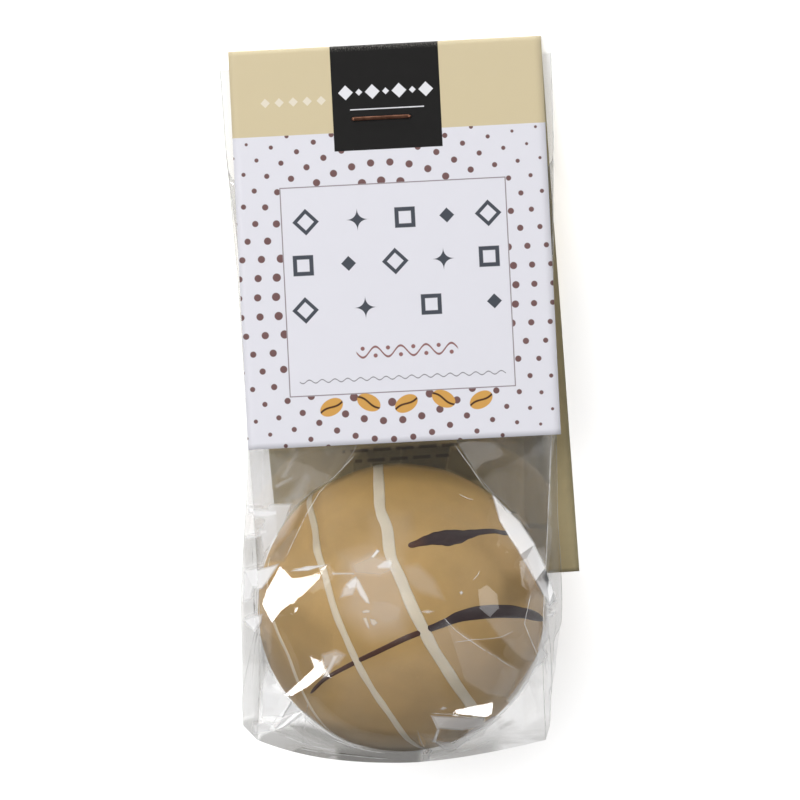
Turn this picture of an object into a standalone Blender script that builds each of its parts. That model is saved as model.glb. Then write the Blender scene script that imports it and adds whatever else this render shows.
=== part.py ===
"""Chocolate sphere in a clear gusseted bag, closed by a folded card header and a staple.

The pack lies on its back with the header toward +Y and the shown side up.
Lengths are named in millimetres and converted once, by MM.
Three solids: the filled bag, the folded header card, the staple.
"""

import math

import bmesh
import bpy
from mathutils import Matrix, Vector
from mathutils.bvhtree import BVHTree

MM = 0.001

# The sphere inside
SPHERE_R = 30.0
SPHERE_Z = 31.0
WRAP_R = 30.3

# Slope of the front panel and the turn of the header seen from above
SLOPE = math.radians(29.35)
HEADER_TURN = math.radians(3.3)
BACK_TURN = math.radians(1.1)
HEADER_SHIFT = 3.2

# Header card
CARD_W = 63.6
CARD_T = 0.4
FRONT_LEN = 81.0
BACK_END_Y = -12.4
FLAT_FROM_Y = 45.0
FOLD_R = 0.8
GAP = 0.3

# Staple
STAPLE_X = 1.8
STAPLE_FROM_FOLD = 15.0
STAPLE_SPAN = 12.3
WIRE_R = 0.4
LEG_HOLE_R = WIRE_R + GAP
CLINCH = 4.4

# Bag
BAG_HALF = 34.0
FILM_T = 0.6
FILM_TOP_DROP = 3.5
END_Y = -33.0
END_LEAN = 2.0
BAG_FLOOR = CARD_T + GAP
GUSSET_IN = (7.5, 11.0)
SIDE_BULGE = (2.4, 0.6)
END_CREST = 42.6
END_FALL = 10.0
SAG = 0.9

SIN = math.sin(SLOPE)
COS = math.cos(SLOPE)

# Levels along the slope's normal, counted from the sphere's centre
W_FRONT_FACE = SPHERE_R + 1.0
W_FRONT_MID = W_FRONT_FACE - CARD_T / 2
W_FILM_TOP = W_FRONT_FACE - CARD_T - GAP
W_FILM_LOW = W_FILM_TOP - FILM_T
W_BACK_MID = W_FILM_LOW - GAP - CARD_T / 2
W_BACK_FACE = W_BACK_MID - CARD_T / 2
W_FOLD = (W_FRONT_MID + W_BACK_MID) / 2

# The fold touches the floor
V_FOLD = (SPHERE_Z - (FOLD_R + CARD_T / 2) + W_FOLD * COS) / SIN
V_TOP = V_FOLD + FOLD_R + CARD_T / 2


def clear_scene():
    """Remove every object of the opened file."""
    for ob in list(bpy.data.objects):
        bpy.data.objects.remove(ob, do_unlink=True)


def slope_point(x, v, w):
    """A place on the sloping header: across, up the slope, out of it."""
    return Vector((x, v * COS + w * SIN, SPHERE_Z - v * SIN + w * COS))


def slope_height(y, w):
    """Height of the sloping level w at the distance y."""
    return SPHERE_Z + (w - y * SIN) / COS


def smooth(t):
    """Ease from 0 to 1."""
    t = min(max(t, 0.0), 1.0)
    return t * t * (3 - 2 * t)


def through(points, y):
    """Smooth curve through (y, value) pairs, flat outside them."""
    if y <= points[0][0]:
        return points[0][1]
    if y >= points[-1][0]:
        return points[-1][1]
    k = 0
    while points[k + 1][0] < y:
        k += 1

    def rate(i):
        a = points[max(i - 1, 0)]
        b = points[min(i + 1, len(points) - 1)]
        return (b[1] - a[1]) / (b[0] - a[0])

    y0, f0 = points[k]
    y1, f1 = points[k + 1]
    span = y1 - y0
    t = (y - y0) / span
    return (
        (2 * t**3 - 3 * t**2 + 1) * f0
        + (t**3 - 2 * t**2 + t) * span * rate(k)
        + (3 * t**2 - 2 * t**3) * f1
        + (t**3 - t**2) * span * rate(k + 1)
    )


def back_mid(y):
    """Mid height and slope of the back panel: flat, an arch, then the slope."""
    y_end = (V_TOP - STAPLE_FROM_FOLD - 1.5) * COS + W_BACK_MID * SIN
    if y <= FLAT_FROM_Y:
        return CARD_T / 2, 0.0
    if y >= y_end:
        return slope_height(y, W_BACK_MID), -SIN / COS
    span = y_end - FLAT_FROM_Y
    t = (y - FLAT_FROM_Y) / span
    low = CARD_T / 2
    high = slope_height(y_end, W_BACK_MID)
    rate = -SIN / COS * span
    z = (2 * t**3 - 3 * t**2 + 1) * low + (3 * t**2 - 2 * t**3) * high + (t**3 - t**2) * rate
    dz = (6 * t**2 - 6 * t) * low + (6 * t - 6 * t**2) * high + (3 * t**2 - 2 * t) * rate
    return z, dz / span


def new_object(name, bm, material, collection):
    """Put a mesh into the scene under a name."""
    mesh = bpy.data.meshes.new(name)
    bm.to_mesh(mesh)
    bm.free()
    ob = bpy.data.objects.new(name, mesh)
    ob.data.materials.append(material)
    collection.objects.link(ob)
    return ob


def make_material(name, colour, metallic, roughness):
    """One plain Principled material."""
    mat = bpy.data.materials.new(name)
    mat.use_nodes = True
    shader = mat.node_tree.nodes["Principled BSDF"]
    shader.inputs["Base Color"].default_value = (*colour, 1.0)
    shader.inputs["Metallic"].default_value = metallic
    shader.inputs["Roughness"].default_value = roughness
    return mat


# Header card


def card_rows():
    """Rows of the card's mid surface, each as three places across it."""
    half = CARD_W / 2
    across = [-half, -half / 2, 0.0, half / 2, half]
    rows = []
    steps = 6
    for i in range(steps + 1):
        v = V_TOP - FRONT_LEN + (V_FOLD - (V_TOP - FRONT_LEN)) * i / steps
        rows.append([slope_point(HEADER_SHIFT + x, v, W_FRONT_MID) for x in across])
    turns = 10
    for i in range(1, turns):
        angle = math.pi * i / turns
        v = V_FOLD + FOLD_R * math.sin(angle)
        w = W_FOLD + FOLD_R * math.cos(angle)
        rows.append([slope_point(HEADER_SHIFT + x, v, w) for x in across])
    y_fold = slope_point(0.0, V_FOLD, W_BACK_MID).y
    steps = 56
    for i in range(steps + 1):
        dy = (BACK_END_Y - y_fold) * i / steps
        turn = BACK_TURN * smooth(-dy / 9.0)
        row = []
        for x in across:
            y = y_fold + x * math.sin(turn) + dy * math.cos(turn)
            px = HEADER_SHIFT + x * math.cos(turn) - dy * math.sin(turn)
            row.append(Vector((px, y, back_mid(y)[0])))
        rows.append(row)
    return rows


def build_card(material, collection):
    """The folded card as one sheet with thickness."""
    bm = bmesh.new()
    grid = [[bm.verts.new(p * MM) for p in row] for row in card_rows()]
    for a, b in zip(grid, grid[1:]):
        for i in range(len(a) - 1):
            bm.faces.new((a[i], a[i + 1], b[i + 1], b[i]))
    ob = new_object("header_card", bm, material, collection)
    solid = ob.modifiers.new("thickness", "SOLIDIFY")
    solid.thickness = CARD_T * MM
    solid.offset = 0.0
    solid.use_even_offset = True
    return ob


# Staple


def build_staple(material, collection):
    """Round wire: crown on the front, legs through the card, ends bent in behind."""
    v = V_TOP - STAPLE_FROM_FOLD
    half = STAPLE_SPAN / 2 - WIRE_R
    top = W_FRONT_FACE + GAP + WIRE_R
    low = W_BACK_FACE - GAP - WIRE_R
    bend = 0.6
    side = [(half - CLINCH, low), (half - bend, low)]
    steps = 5
    for i in range(1, steps):
        a = math.pi / 2 * i / steps
        side.append((half - bend + bend * math.sin(a), low + bend - bend * math.cos(a)))
    side.append((half, low + bend))
    side.append((half, top - bend))
    for i in range(1, steps):
        a = math.pi / 2 * i / steps
        side.append((half - bend + bend * math.cos(a), top - bend + bend * math.sin(a)))
    side.append((half - bend, top))
    path = side + [(-x, w) for x, w in reversed(side)]
    curve = bpy.data.curves.new("staple_wire", "CURVE")
    curve.dimensions = "3D"
    curve.bevel_depth = WIRE_R * MM
    curve.bevel_resolution = 3
    curve.use_fill_caps = True
    spline = curve.splines.new("POLY")
    spline.points.add(len(path) - 1)
    for point, (x, w) in zip(spline.points, path):
        place = slope_point(STAPLE_X + x, v, w) * MM
        point.co = (place.x, place.y, place.z, 1.0)
    wire = bpy.data.objects.new("staple_wire", curve)
    bpy.context.scene.collection.objects.link(wire)
    depsgraph = bpy.context.evaluated_depsgraph_get()
    mesh = bpy.data.meshes.new_from_object(wire.evaluated_get(depsgraph))
    bpy.data.objects.remove(wire, do_unlink=True)
    bm = bmesh.new()
    bm.from_mesh(mesh)
    bpy.data.meshes.remove(mesh)
    bmesh.ops.remove_doubles(bm, verts=bm.verts[:], dist=0.00001)
    bmesh.ops.recalc_face_normals(bm, faces=bm.faces[:])
    for face in bm.faces:
        face.smooth = len(face.verts) == 4
    ob = new_object("staple", bm, material, collection)
    return ob


# Bag


def front_crease(y):
    """Half width and height of the front crease along the bag."""
    flat = slope_height(98.0, W_FILM_TOP)
    half = [(-31.0, 30.4), (0.0, 29.2), (22.0, 30.0), (45.0, 31.4), (75.0, 33.2), (98.0, BAG_HALF)]
    high = [(-31.0, 33.0), (-16.0, 40.6), (0.0, 43.8), (20.0, 39.4), (45.0, 30.4), (75.0, 20.0), (98.0, flat)]
    if y >= 98.0:
        return BAG_HALF, slope_height(y, W_FILM_TOP)
    return through(half, y), through(high, y)


def back_crease(y, right):
    """Half width and height of the back crease on one side; the right end is tucked in."""
    mid, rate = back_mid(y)
    lift = (CARD_T / 2 + GAP) * math.sqrt(1 + rate * rate)
    half = [(END_Y, 34.1), (-18.0, 34.4), (-2.6, 33.6), (7.5, 32.9), (22.0, 32.4), (60.0, 33.2)]
    if right:
        half = [(END_Y, 32.7), (-26.5, 32.9), (-22.5, 34.3), (-9.0, 34.1), (5.0, 33.2), (60.0, 33.4)]
    half.append((98.0, BAG_HALF))
    return through(half, y), mid + lift


def end_crest(x):
    """Height of the crease between the front panel and the end wall."""
    return END_CREST - END_FALL * (abs(x) / 31.0) ** 1.6


def taut_wrap():
    """Smallest bulging shape round the sphere and the creases."""
    bm = bmesh.new()
    place = Matrix.Translation((0, 0, SPHERE_Z))
    bmesh.ops.create_uvsphere(bm, u_segments=96, v_segments=64, radius=WRAP_R, matrix=place)
    for i in range(-31, 99, 3):
        half, high = front_crease(i)
        bm.verts.new((half, i, high))
        bm.verts.new((-half, i, high))
    for i in range(-31, 32, 2):
        bm.verts.new((i, END_Y + END_LEAN, end_crest(i)))
    flat = slope_height(98.0, W_FILM_TOP)
    for x in (-BAG_HALF, BAG_HALF):
        bm.verts.new((x, 98.0, flat))
        bm.verts.new((x, 98.0, 0.0))
        bm.verts.new((x, END_Y, 0.0))
    hull = bmesh.ops.convex_hull(bm, input=bm.verts[:])
    loose = [v for v in hull["geom_interior"] if isinstance(v, bmesh.types.BMVert)]
    bmesh.ops.delete(bm, geom=loose, context="VERTS")
    tree = BVHTree.FromBMesh(bm)
    bm.free()
    return tree


def wrap_height(tree, x, y, low):
    """Height of the taut front panel over a place."""
    if y >= 98.0:
        return slope_height(y, W_FILM_TOP)
    hit = tree.ray_cast(Vector((x, y, 120.0)), Vector((0, 0, -1)))[0]
    if hit is None:
        return low
    t = min(max((y - 15.0) / (98.0 - 15.0), 0.0), 1.0)
    return max(low, hit.z - SAG * math.sin(math.pi * t))


def gusset_fold(y, right):
    """Half width and height of the inner crease of one side gusset."""
    f_half, f_high = front_crease(y)
    b_half, b_high = back_crease(y, right)
    open_by = f_high - b_high
    middle = (f_high + b_high) / 2
    height = through([(-12.0, 27.0), (0.0, 26.6), (9.0, 25.4), (20.5, 19.8), (32.0, 17.0)], y)
    height = height + (middle - height) * smooth((y - 26.0) / 14.0)
    share = (height - b_high) / max(open_by, 0.1)
    wall = b_half + (f_half - b_half) * share
    reach = WRAP_R**2 - y * y - (height - SPHERE_Z) ** 2
    ball = math.sqrt(reach) + 0.25 if reach > 0 else 0.0
    inner = min(math.sqrt(max(GUSSET_IN[right], ball) ** 2 + 4.0), wall)
    if y < 0:
        inner = inner + (wall - inner) * smooth(-y / 12.0)
        inner = inner + SIDE_BULGE[right] * smooth(-(y + 8.0) / 20.0)
    opened = smooth((open_by - 1.2) / 5.0)
    return wall + (inner - wall) * opened, height


def bend(x, y, z):
    """Turn the bag's upper part with the header."""
    if y <= 0:
        return Vector((x, y, z))
    lean = math.tan(HEADER_TURN)
    middle = HEADER_SHIFT / math.cos(HEADER_TURN) - 100.0 * lean
    power = 100.0 * lean / -middle
    shift = middle * (y / 100.0) ** power
    turn = math.atan(-power * middle / 100.0 * (y / 100.0) ** (power - 1))
    if y > 100.0:
        turn = HEADER_TURN
        shift = middle - (y - 100.0) * lean
    return Vector((shift + x * math.cos(turn), y + x * math.sin(turn), z))


def side_points(y, right, lean):
    """One side wall from the back crease over the inner crease to the front crease."""
    f_half, f_high = front_crease(y + lean)
    b_half, b_high = back_crease(y, right)
    g_half, g_high = gusset_fold(y, right)
    sign = 1 if right else -1
    places = []
    steps = 4
    for i in range(2 * steps + 1):
        t = i / steps
        if t <= 1:
            x = b_half + (g_half - b_half) * t
            z = b_high + (g_high - b_high) * t
        else:
            x = g_half + (f_half - g_half) * (t - 1)
            z = g_high + (f_high - g_high) * (t - 1)
        rise = min(max((z - b_high) / 42.0, 0.0), 1.0)
        places.append(Vector((sign * x, y + lean * rise, z)))
    return places


def bag_section(tree, y):
    """Closed outline of the bag at one station."""
    lean = END_LEAN * (1.0 - smooth((y - END_Y) / 24.0))
    right = side_points(y, True, lean)
    left = side_points(y, False, lean)
    outline = list(right)
    steps = 30
    for i in range(1, steps):
        x = right[-1].x + (left[-1].x - right[-1].x) * i / steps
        if y < END_Y + 0.01:
            z = end_crest(x)
            rise = min((z - BAG_FLOOR) / 42.0, 1.0)
            outline.append(Vector((x, y + lean * rise, z)))
        else:
            outline.append(Vector((x, y + lean, wrap_height(tree, x, y + lean, right[-1].z))))
    outline += reversed(left)
    steps = 6
    for i in range(1, steps):
        outline.append(left[0].lerp(right[0], i / steps))
    return outline


def build_bag(material, collection):
    """The filled bag as one solid, lofted along its length."""
    tree = taut_wrap()
    y_top = slope_point(0.0, V_TOP - FILM_TOP_DROP, W_FOLD).y
    stations = [END_Y, -31.0, -29.0, -26.5, -24.0, -21.5]
    while stations[-1] < 60.0:
        stations.append(stations[-1] + 2.25)
    while stations[-1] < 92.0:
        stations.append(stations[-1] + 3.5)
    stations += [95.0, 98.0, 105.0, y_top]
    bm = bmesh.new()
    rings = []
    for y in stations:
        ring = [bm.verts.new(bend(*p) * MM) for p in bag_section(tree, y)]
        rings.append(ring)
    for a, b in zip(rings, rings[1:]):
        for i in range(len(a)):
            j = (i + 1) % len(a)
            face = bm.faces.new((a[i], b[i], b[j], a[j]))
            face.smooth = True
    bm.faces.new(rings[0])
    bm.faces.new(list(reversed(rings[-1])))
    bmesh.ops.recalc_face_normals(bm, faces=bm.faces[:])
    bmesh.ops.triangulate(bm, faces=bm.faces[:])
    return new_object("film_bag", bm, material, collection)


def leg_cutters(collection):
    """Round holes through card and film for the two staple legs."""
    cutters = []
    v = V_TOP - STAPLE_FROM_FOLD
    for side in (-1, 1):
        x = STAPLE_X + side * (STAPLE_SPAN / 2 - WIRE_R)
        centre = slope_point(x, v, W_FOLD) * MM
        bm = bmesh.new()
        bmesh.ops.create_cone(
            bm,
            cap_ends=True,
            segments=16,
            radius1=LEG_HOLE_R * MM,
            radius2=LEG_HOLE_R * MM,
            depth=6.0 * MM,
        )
        mesh = bpy.data.meshes.new("leg_hole")
        bm.to_mesh(mesh)
        bm.free()
        cutter = bpy.data.objects.new("leg_hole", mesh)
        cutter.location = Matrix.Rotation(HEADER_TURN, 4, "Z") @ centre
        cutter.rotation_euler = (-SLOPE, 0.0, HEADER_TURN)
        cutter.hide_render = True
        cutter.display_type = "WIRE"
        collection.objects.link(cutter)
        cutters.append(cutter)
    return cutters


def cut(ob, cutters):
    """Take the cutters out of a solid."""
    for cutter in cutters:
        mod = ob.modifiers.new("cut", "BOOLEAN")
        mod.operation = "DIFFERENCE"
        mod.solver = "EXACT"
        mod.object = cutter


def corners(objects):
    """Least and greatest corner of the solids."""
    bpy.context.view_layer.update()
    depsgraph = bpy.context.evaluated_depsgraph_get()
    places = []
    for ob in objects:
        shown = ob.evaluated_get(depsgraph)
        mesh = shown.to_mesh()
        places += [shown.matrix_world @ v.co for v in mesh.vertices]
        shown.to_mesh_clear()
    low = Vector([min(p[i] for p in places) for i in range(3)])
    high = Vector([max(p[i] for p in places) for i in range(3)])
    return low, high


def build():
    """Make the pack and stand it on its origin."""
    clear_scene()
    pack = bpy.data.collections.new("chocolate_sphere_pack")
    tools = bpy.data.collections.new("cutters")
    bpy.context.scene.collection.children.link(pack)
    bpy.context.scene.collection.children.link(tools)

    film = make_material("clear_film", (0.72, 0.56, 0.36), 0.0, 0.15)
    card = make_material("printed_card", (0.86, 0.82, 0.74), 0.0, 0.55)
    copper = make_material("copper_wire", (0.72, 0.42, 0.28), 1.0, 0.3)

    bag = build_bag(film, pack)
    header = build_card(card, pack)
    staple = build_staple(copper, pack)
    header.rotation_euler = (0.0, 0.0, HEADER_TURN)
    staple.rotation_euler = (0.0, 0.0, HEADER_TURN)

    cutters = leg_cutters(tools)
    cut(header, cutters)
    cut(bag, cutters)

    low, high = corners([bag, header, staple])
    root = bpy.data.objects.new("pack_place", None)
    pack.objects.link(root)
    root.location = (-(low.x + high.x) / 2, -(low.y + high.y) / 2, -low.z)
    for ob in [bag, header, staple, *cutters]:
        ob.parent = root


build()
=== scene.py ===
"""Looks of the chocolate sphere pack: sphere, drizzle, clear bag, printed card and staple.

The pack lies on its back with the header toward +Y. Lengths are in millimetres in the
pack's own place and are brought into the frame, in metres, by to_frame.
"""

import math
import random
from functools import reduce

import bmesh
import bpy
from bpy.props import FloatProperty, FloatVectorProperty, PointerProperty
from mathutils import Matrix, Vector, noise
from mathutils.bvhtree import BVHTree
from mathutils.geometry import convex_hull_2d, delaunay_2d_cdt


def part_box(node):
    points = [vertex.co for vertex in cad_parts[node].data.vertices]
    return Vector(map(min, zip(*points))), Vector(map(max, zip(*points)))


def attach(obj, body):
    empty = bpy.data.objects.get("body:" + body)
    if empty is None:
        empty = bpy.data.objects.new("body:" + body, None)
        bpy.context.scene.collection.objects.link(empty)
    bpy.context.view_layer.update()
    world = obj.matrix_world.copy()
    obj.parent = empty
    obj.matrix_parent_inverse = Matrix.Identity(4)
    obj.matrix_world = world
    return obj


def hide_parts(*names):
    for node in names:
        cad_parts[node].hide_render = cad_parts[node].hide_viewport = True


bl_info = {
    "name": "Chocolate sphere pack",
    "version": (1, 0, 0),
    "blender": (4, 5, 0),
    "location": "3D Viewport > Sidebar > Pack",
    "description": "Makes the looks of a chocolate sphere in a clear bag with a card header",
    "category": "Add Mesh",
}

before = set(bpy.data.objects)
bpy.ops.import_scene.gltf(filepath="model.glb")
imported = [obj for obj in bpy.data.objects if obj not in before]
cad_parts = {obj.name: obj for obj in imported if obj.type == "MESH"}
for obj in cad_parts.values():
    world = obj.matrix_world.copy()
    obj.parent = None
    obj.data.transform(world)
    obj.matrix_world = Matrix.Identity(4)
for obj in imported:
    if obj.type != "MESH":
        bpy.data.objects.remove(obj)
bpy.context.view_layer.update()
BODY = "root"
MM = 0.001

# Sphere
SPHERE_R = 30.0
SPHERE_Z = 31.0
WRAP_R = 30.3

# Slope of the front panel and turn of the header, as in the solids
SLOPE = math.radians(29.35)
HEADER_TURN = math.radians(3.3)
BACK_TURN = math.radians(1.1)
HEADER_SHIFT = 3.2
CARD_W = 63.6
CARD_T = 0.4
FRONT_LEN = 81.0
BACK_END_Y = -12.4
FLAT_FROM_Y = 45.0
FOLD_R = 0.8
GAP = 0.3

# Staple
STAPLE_X = 1.8
STAPLE_FROM_FOLD = 15.0
STAPLE_SPAN = 12.3
WIRE_R = 0.4
CLINCH = 4.4
WIRE_FLAT = 0.86

# Bag
BAG_HALF = 34.0
FILM_T = 0.6
FILM_TOP_DROP = 3.5
END_Y = -33.0
END_LEAN = 2.0
BAG_FLOOR = CARD_T + GAP
GUSSET_IN = (
    ((20.0, 17.5), (29.2, 10.0), (36.0, 7.5)),
    ((20.0, 19.3), (25.0, 15.7), (32.5, 11.4), (36.0, 11.0)),
)
SIDE_BULGE = (2.4, 0.6)
END_CREST = 42.6
END_FALL = 10.0
SAG = 0.9
SAG_FROM_Y = 15.0
FLAT_TOP_Y = 98.0
TOP_HALF = 33.3
BEND_SPAN = 100.0
LEAN_RISE = 42.0

# Where the film's finish counts as the front panel
FRONT_FROM_Z = 26.0
FRONT_MIDDLE_X = -1.8
FRONT_HALF = 27.6

# Where it counts as beyond the sphere, from its middle, and as the foot, up the film
BALL_EDGE = 29.8
FOOT_FROM = -27.0

SIN = math.sin(SLOPE)
COS = math.cos(SLOPE)
ACROSS = Vector((1.0, 0.0, 0.0))
UPWARD = Vector((0.0, COS, -SIN))
OUTWARD = Vector((0.0, SIN, COS))
CENTRE = Vector((0.0, 0.0, SPHERE_Z))

# Levels along the slope's normal, counted from the sphere's centre
W_FRONT_FACE = SPHERE_R + 1.0
W_FRONT_MID = W_FRONT_FACE - CARD_T / 2
W_FILM_TOP = W_FRONT_FACE - CARD_T - GAP
W_FILM_LOW = W_FILM_TOP - FILM_T
W_BACK_MID = W_FILM_LOW - GAP - CARD_T / 2
W_BACK_FACE = W_BACK_MID - CARD_T / 2
W_FOLD = (W_FRONT_MID + W_BACK_MID) / 2
V_FOLD = (SPHERE_Z - (FOLD_R + CARD_T / 2) + W_FOLD * COS) / SIN
V_TOP = V_FOLD + FOLD_R + CARD_T / 2

# Photograph: side in pixels, focal length in pixels, place of the eye over the sphere
PHOTO = 800
FOCAL_PX = 5760.0
SENSOR = 36.0
EYE_ACROSS = -0.3
EYE_UP = 43.2
EYE_FAR = 1200.0
EYE = CENTRE + ACROSS * EYE_ACROSS + UPWARD * EYE_UP + OUTWARD * EYE_FAR


def slope_point(x, v, w):
    """A place on the sloping header: across, up the slope, out of it."""
    return Vector((x, v * COS + w * SIN, SPHERE_Z - v * SIN + w * COS))


def turned(p):
    """A header place turned with the header round the sphere's upright axis."""
    return Matrix.Rotation(HEADER_TURN, 3, "Z") @ Vector(p)


def pack_shift():
    """How far the pack's own place lies from the frame, read from the bag and the staple."""
    low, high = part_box("staple")
    legs = turned(slope_point(STAPLE_X, V_TOP - STAPLE_FROM_FOLD, W_FRONT_FACE))
    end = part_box("film_bag")[0].y / MM
    return Vector(((low.x + high.x) / 2 / MM - legs.x, end - END_Y, 0.0))


SHIFT = pack_shift()


def to_frame(p):
    """A place in the pack's own millimetres, in metres in the frame."""
    return (Vector(p) + SHIFT) * MM


def smooth(t):
    """Ease from 0 to 1."""
    t = min(max(t, 0.0), 1.0)
    return t * t * (3 - 2 * t)


def between(first, last, parts):
    """Evenly spaced values from first to last, without these two."""
    return [first + (last - first) * i / parts for i in range(1, parts)]


def through(points, y):
    """Smooth curve through (y, value) pairs, flat outside them."""
    if y <= points[0][0]:
        return points[0][1]
    if y >= points[-1][0]:
        return points[-1][1]
    k = 0
    while points[k + 1][0] < y:
        k += 1

    def rate(i):
        a = points[max(i - 1, 0)]
        b = points[min(i + 1, len(points) - 1)]
        return (b[1] - a[1]) / (b[0] - a[0])

    y0, f0 = points[k]
    y1, f1 = points[k + 1]
    span = y1 - y0
    t = (y - y0) / span
    return (
        (2 * t**3 - 3 * t**2 + 1) * f0
        + (t**3 - 2 * t**2 + t) * span * rate(k)
        + (3 * t**2 - 2 * t**3) * f1
        + (t**3 - t**2) * span * rate(k + 1)
    )


def display(red, green, blue):
    """Linear colour from the 0 to 255 values a screen shows."""

    def linear(c):
        c = c / 255.0
        return c / 12.92 if c <= 0.04045 else ((c + 0.055) / 1.055) ** 2.4

    return (linear(red), linear(green), linear(blue))


def shaded(colour, factor):
    """A colour made darker or lighter."""
    return [min(c * factor, 1.0) for c in colour]


def sight(px, py):
    """Direction from the eye through a pixel of the photograph."""
    mid = PHOTO / 2
    return (ACROSS * (px - mid) - UPWARD * (py - mid) - OUTWARD * FOCAL_PX).normalized()


def on_ball(px, py, radius=SPHERE_R):
    """Unit direction from the sphere's centre to what a pixel shows of it."""
    ray = sight(px, py)
    back = EYE - CENTRE
    b = back.dot(ray)
    inside = b * b - (back.length_squared - radius * radius)
    if inside <= 0:
        return (back - ray * b).normalized()
    return (back + ray * (-b - math.sqrt(inside))).normalized()


def add_piece(name, places, faces, materials):
    """Put a mesh given in the pack's millimetres into the scene and on its body."""
    mesh = bpy.data.meshes.new(name)
    mesh.from_pydata([to_frame(p) for p in places], [], faces)
    mesh.update()
    mesh.shade_smooth()
    for material in materials:
        mesh.materials.append(material)
    piece = bpy.data.objects.new(name, mesh)
    bpy.context.scene.collection.objects.link(piece)
    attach(piece, BODY)
    return piece


def tube_faces(start, last, ring):
    """Faces between rings of points that follow each other, up to ring number last."""
    faces = []
    for k in range(last):
        for i in range(ring):
            j = (i + 1) % ring
            a = start + k * ring
            b = a + ring
            faces.append((a + i, a + j, b + j, b + i))
    return faces


class Value:
    """A shader socket in an expression; each operator adds a Math node."""

    def __init__(self, finish, socket):
        self.finish = finish
        self.socket = socket

    def math(self, operation, *others, clamp=False):
        """A Math node with this value first."""
        settings = {"operation": operation, "use_clamp": clamp}
        return self.finish.node("ShaderNodeMath", settings, dict(enumerate((self, *others))))

    def __add__(self, other):
        return self.math("ADD", other)

    __radd__ = __add__

    def __sub__(self, other):
        return self.math("SUBTRACT", other)

    def __rsub__(self, other):
        settings = {"operation": "SUBTRACT"}
        return self.finish.node("ShaderNodeMath", settings, {0: other, 1: self})

    def __mul__(self, other):
        return self.math("MULTIPLY", other)

    __rmul__ = __mul__

    def __truediv__(self, other):
        return self.math("DIVIDE", other)

    def __abs__(self):
        return self.math("ABSOLUTE")

    def __pow__(self, other):
        return self.math("POWER", other)

    def above(self, edge, blur):
        """1 where the value is above the edge, eased over the blur."""
        return ((self - edge) / blur + 0.5).math("ADD", 0.0, clamp=True)

    def below(self, edge, blur):
        """1 where the value is below the edge, eased over the blur."""
        return ((edge - self) / blur + 0.5).math("ADD", 0.0, clamp=True)

    def least(self, other):
        """The smaller of the two."""
        return self.math("MINIMUM", other)

    def most(self, other):
        """The larger of the two."""
        return self.math("MAXIMUM", other)


class Finish:
    """The node tree of one material."""

    def __init__(self, name):
        self.material = bpy.data.materials.new(name)
        self.material.use_nodes = True
        self.tree = self.material.node_tree
        self.tree.nodes.clear()

    def node(self, kind, settings=None, sockets=None, out=0):
        """Add a node, with its settings first and then the values or links of its sockets."""
        made = self.tree.nodes.new(kind)
        for key, value in (settings or {}).items():
            setattr(made, key, value)
        for key, value in (sockets or {}).items():
            if isinstance(value, Value):
                self.tree.links.new(value.socket, made.inputs[key])
            else:
                made.inputs[key].default_value = value
        return Value(self, made.outputs[out]) if made.outputs else None

    def place(self):
        """Object coordinates in millimetres."""
        raw = self.node("ShaderNodeTexCoord", out=3)
        scale = {"operation": "SCALE"}
        return self.node("ShaderNodeVectorMath", scale, {0: raw, "Scale": 1 / MM})

    def split(self, vector):
        """The three parts of a vector."""
        return [self.node("ShaderNodeSeparateXYZ", None, {0: vector}, out=i) for i in range(3)]

    def clouds(self, vector, size, detail=3.0, roughness=0.5):
        """Noise from 0 to 1 with features of the given size in millimetres."""
        sockets = {"Vector": vector, "Scale": 1.0 / size, "Detail": detail, "Roughness": roughness}
        return self.node("ShaderNodeTexNoise", None, sockets)

    def mix(self, share, first, second):
        """Mix two colours."""
        sockets = {0: share, 6: rgba(first), 7: rgba(second)}
        return self.node("ShaderNodeMix", {"data_type": "RGBA"}, sockets, out=2)

    def bump(self, height, depth, strength=1.0):
        """Normal from a height of 0 to 1 that is worth the given depth in millimetres."""
        sockets = {"Height": height, "Distance": depth * MM, "Strength": strength}
        return self.node("ShaderNodeBump", None, sockets)

    def surface(self, **sockets):
        """Principled surface to the output; socket names with _ for a space."""
        named = {k.replace("_", " "): v for k, v in sockets.items()}
        shader = self.node("ShaderNodeBsdfPrincipled", None, named)
        self.node("ShaderNodeOutputMaterial", None, {"Surface": shader})
        return self.material


def rgba(colour):
    """A colour with its alpha, or a link as it is."""
    if isinstance(colour, Value):
        return colour
    return (*tuple(colour)[:3], 1.0)


def most_of(masks):
    """The strongest of several masks at each place."""
    return reduce(Value.most, masks)


# Sizes and colours a user would change


def length_setting(name, description, millimetres):
    """A length that a user can change."""
    return FloatProperty(
        name=name,
        description=description,
        default=millimetres * MM,
        subtype="DISTANCE",
        unit="LENGTH",
    )


def colour_setting(name, description, colour):
    """A colour that a user can change."""
    return FloatVectorProperty(
        name=name, description=description, default=colour, subtype="COLOR"
    )


class PackSizes(bpy.types.PropertyGroup):
    """Sizes of the pieces."""

    sphere_radius: length_setting("Sphere radius", "Radius of the chocolate sphere", SPHERE_R)
    unevenness: length_setting(
        "Unevenness", "Depth of the sphere's slow hand-made unevenness", 0.07
    )
    white_rise: length_setting(
        "White drizzle rise", "How far the white drizzle stands proud of the sphere", 0.2
    )
    dark_rise: length_setting(
        "Dark drizzle rise", "How far the dark drizzle stands proud of the sphere", 0.14
    )
    film_ripple: length_setting("Film ripple", "Depth of the film's slow ripples", 0.07)


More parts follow.
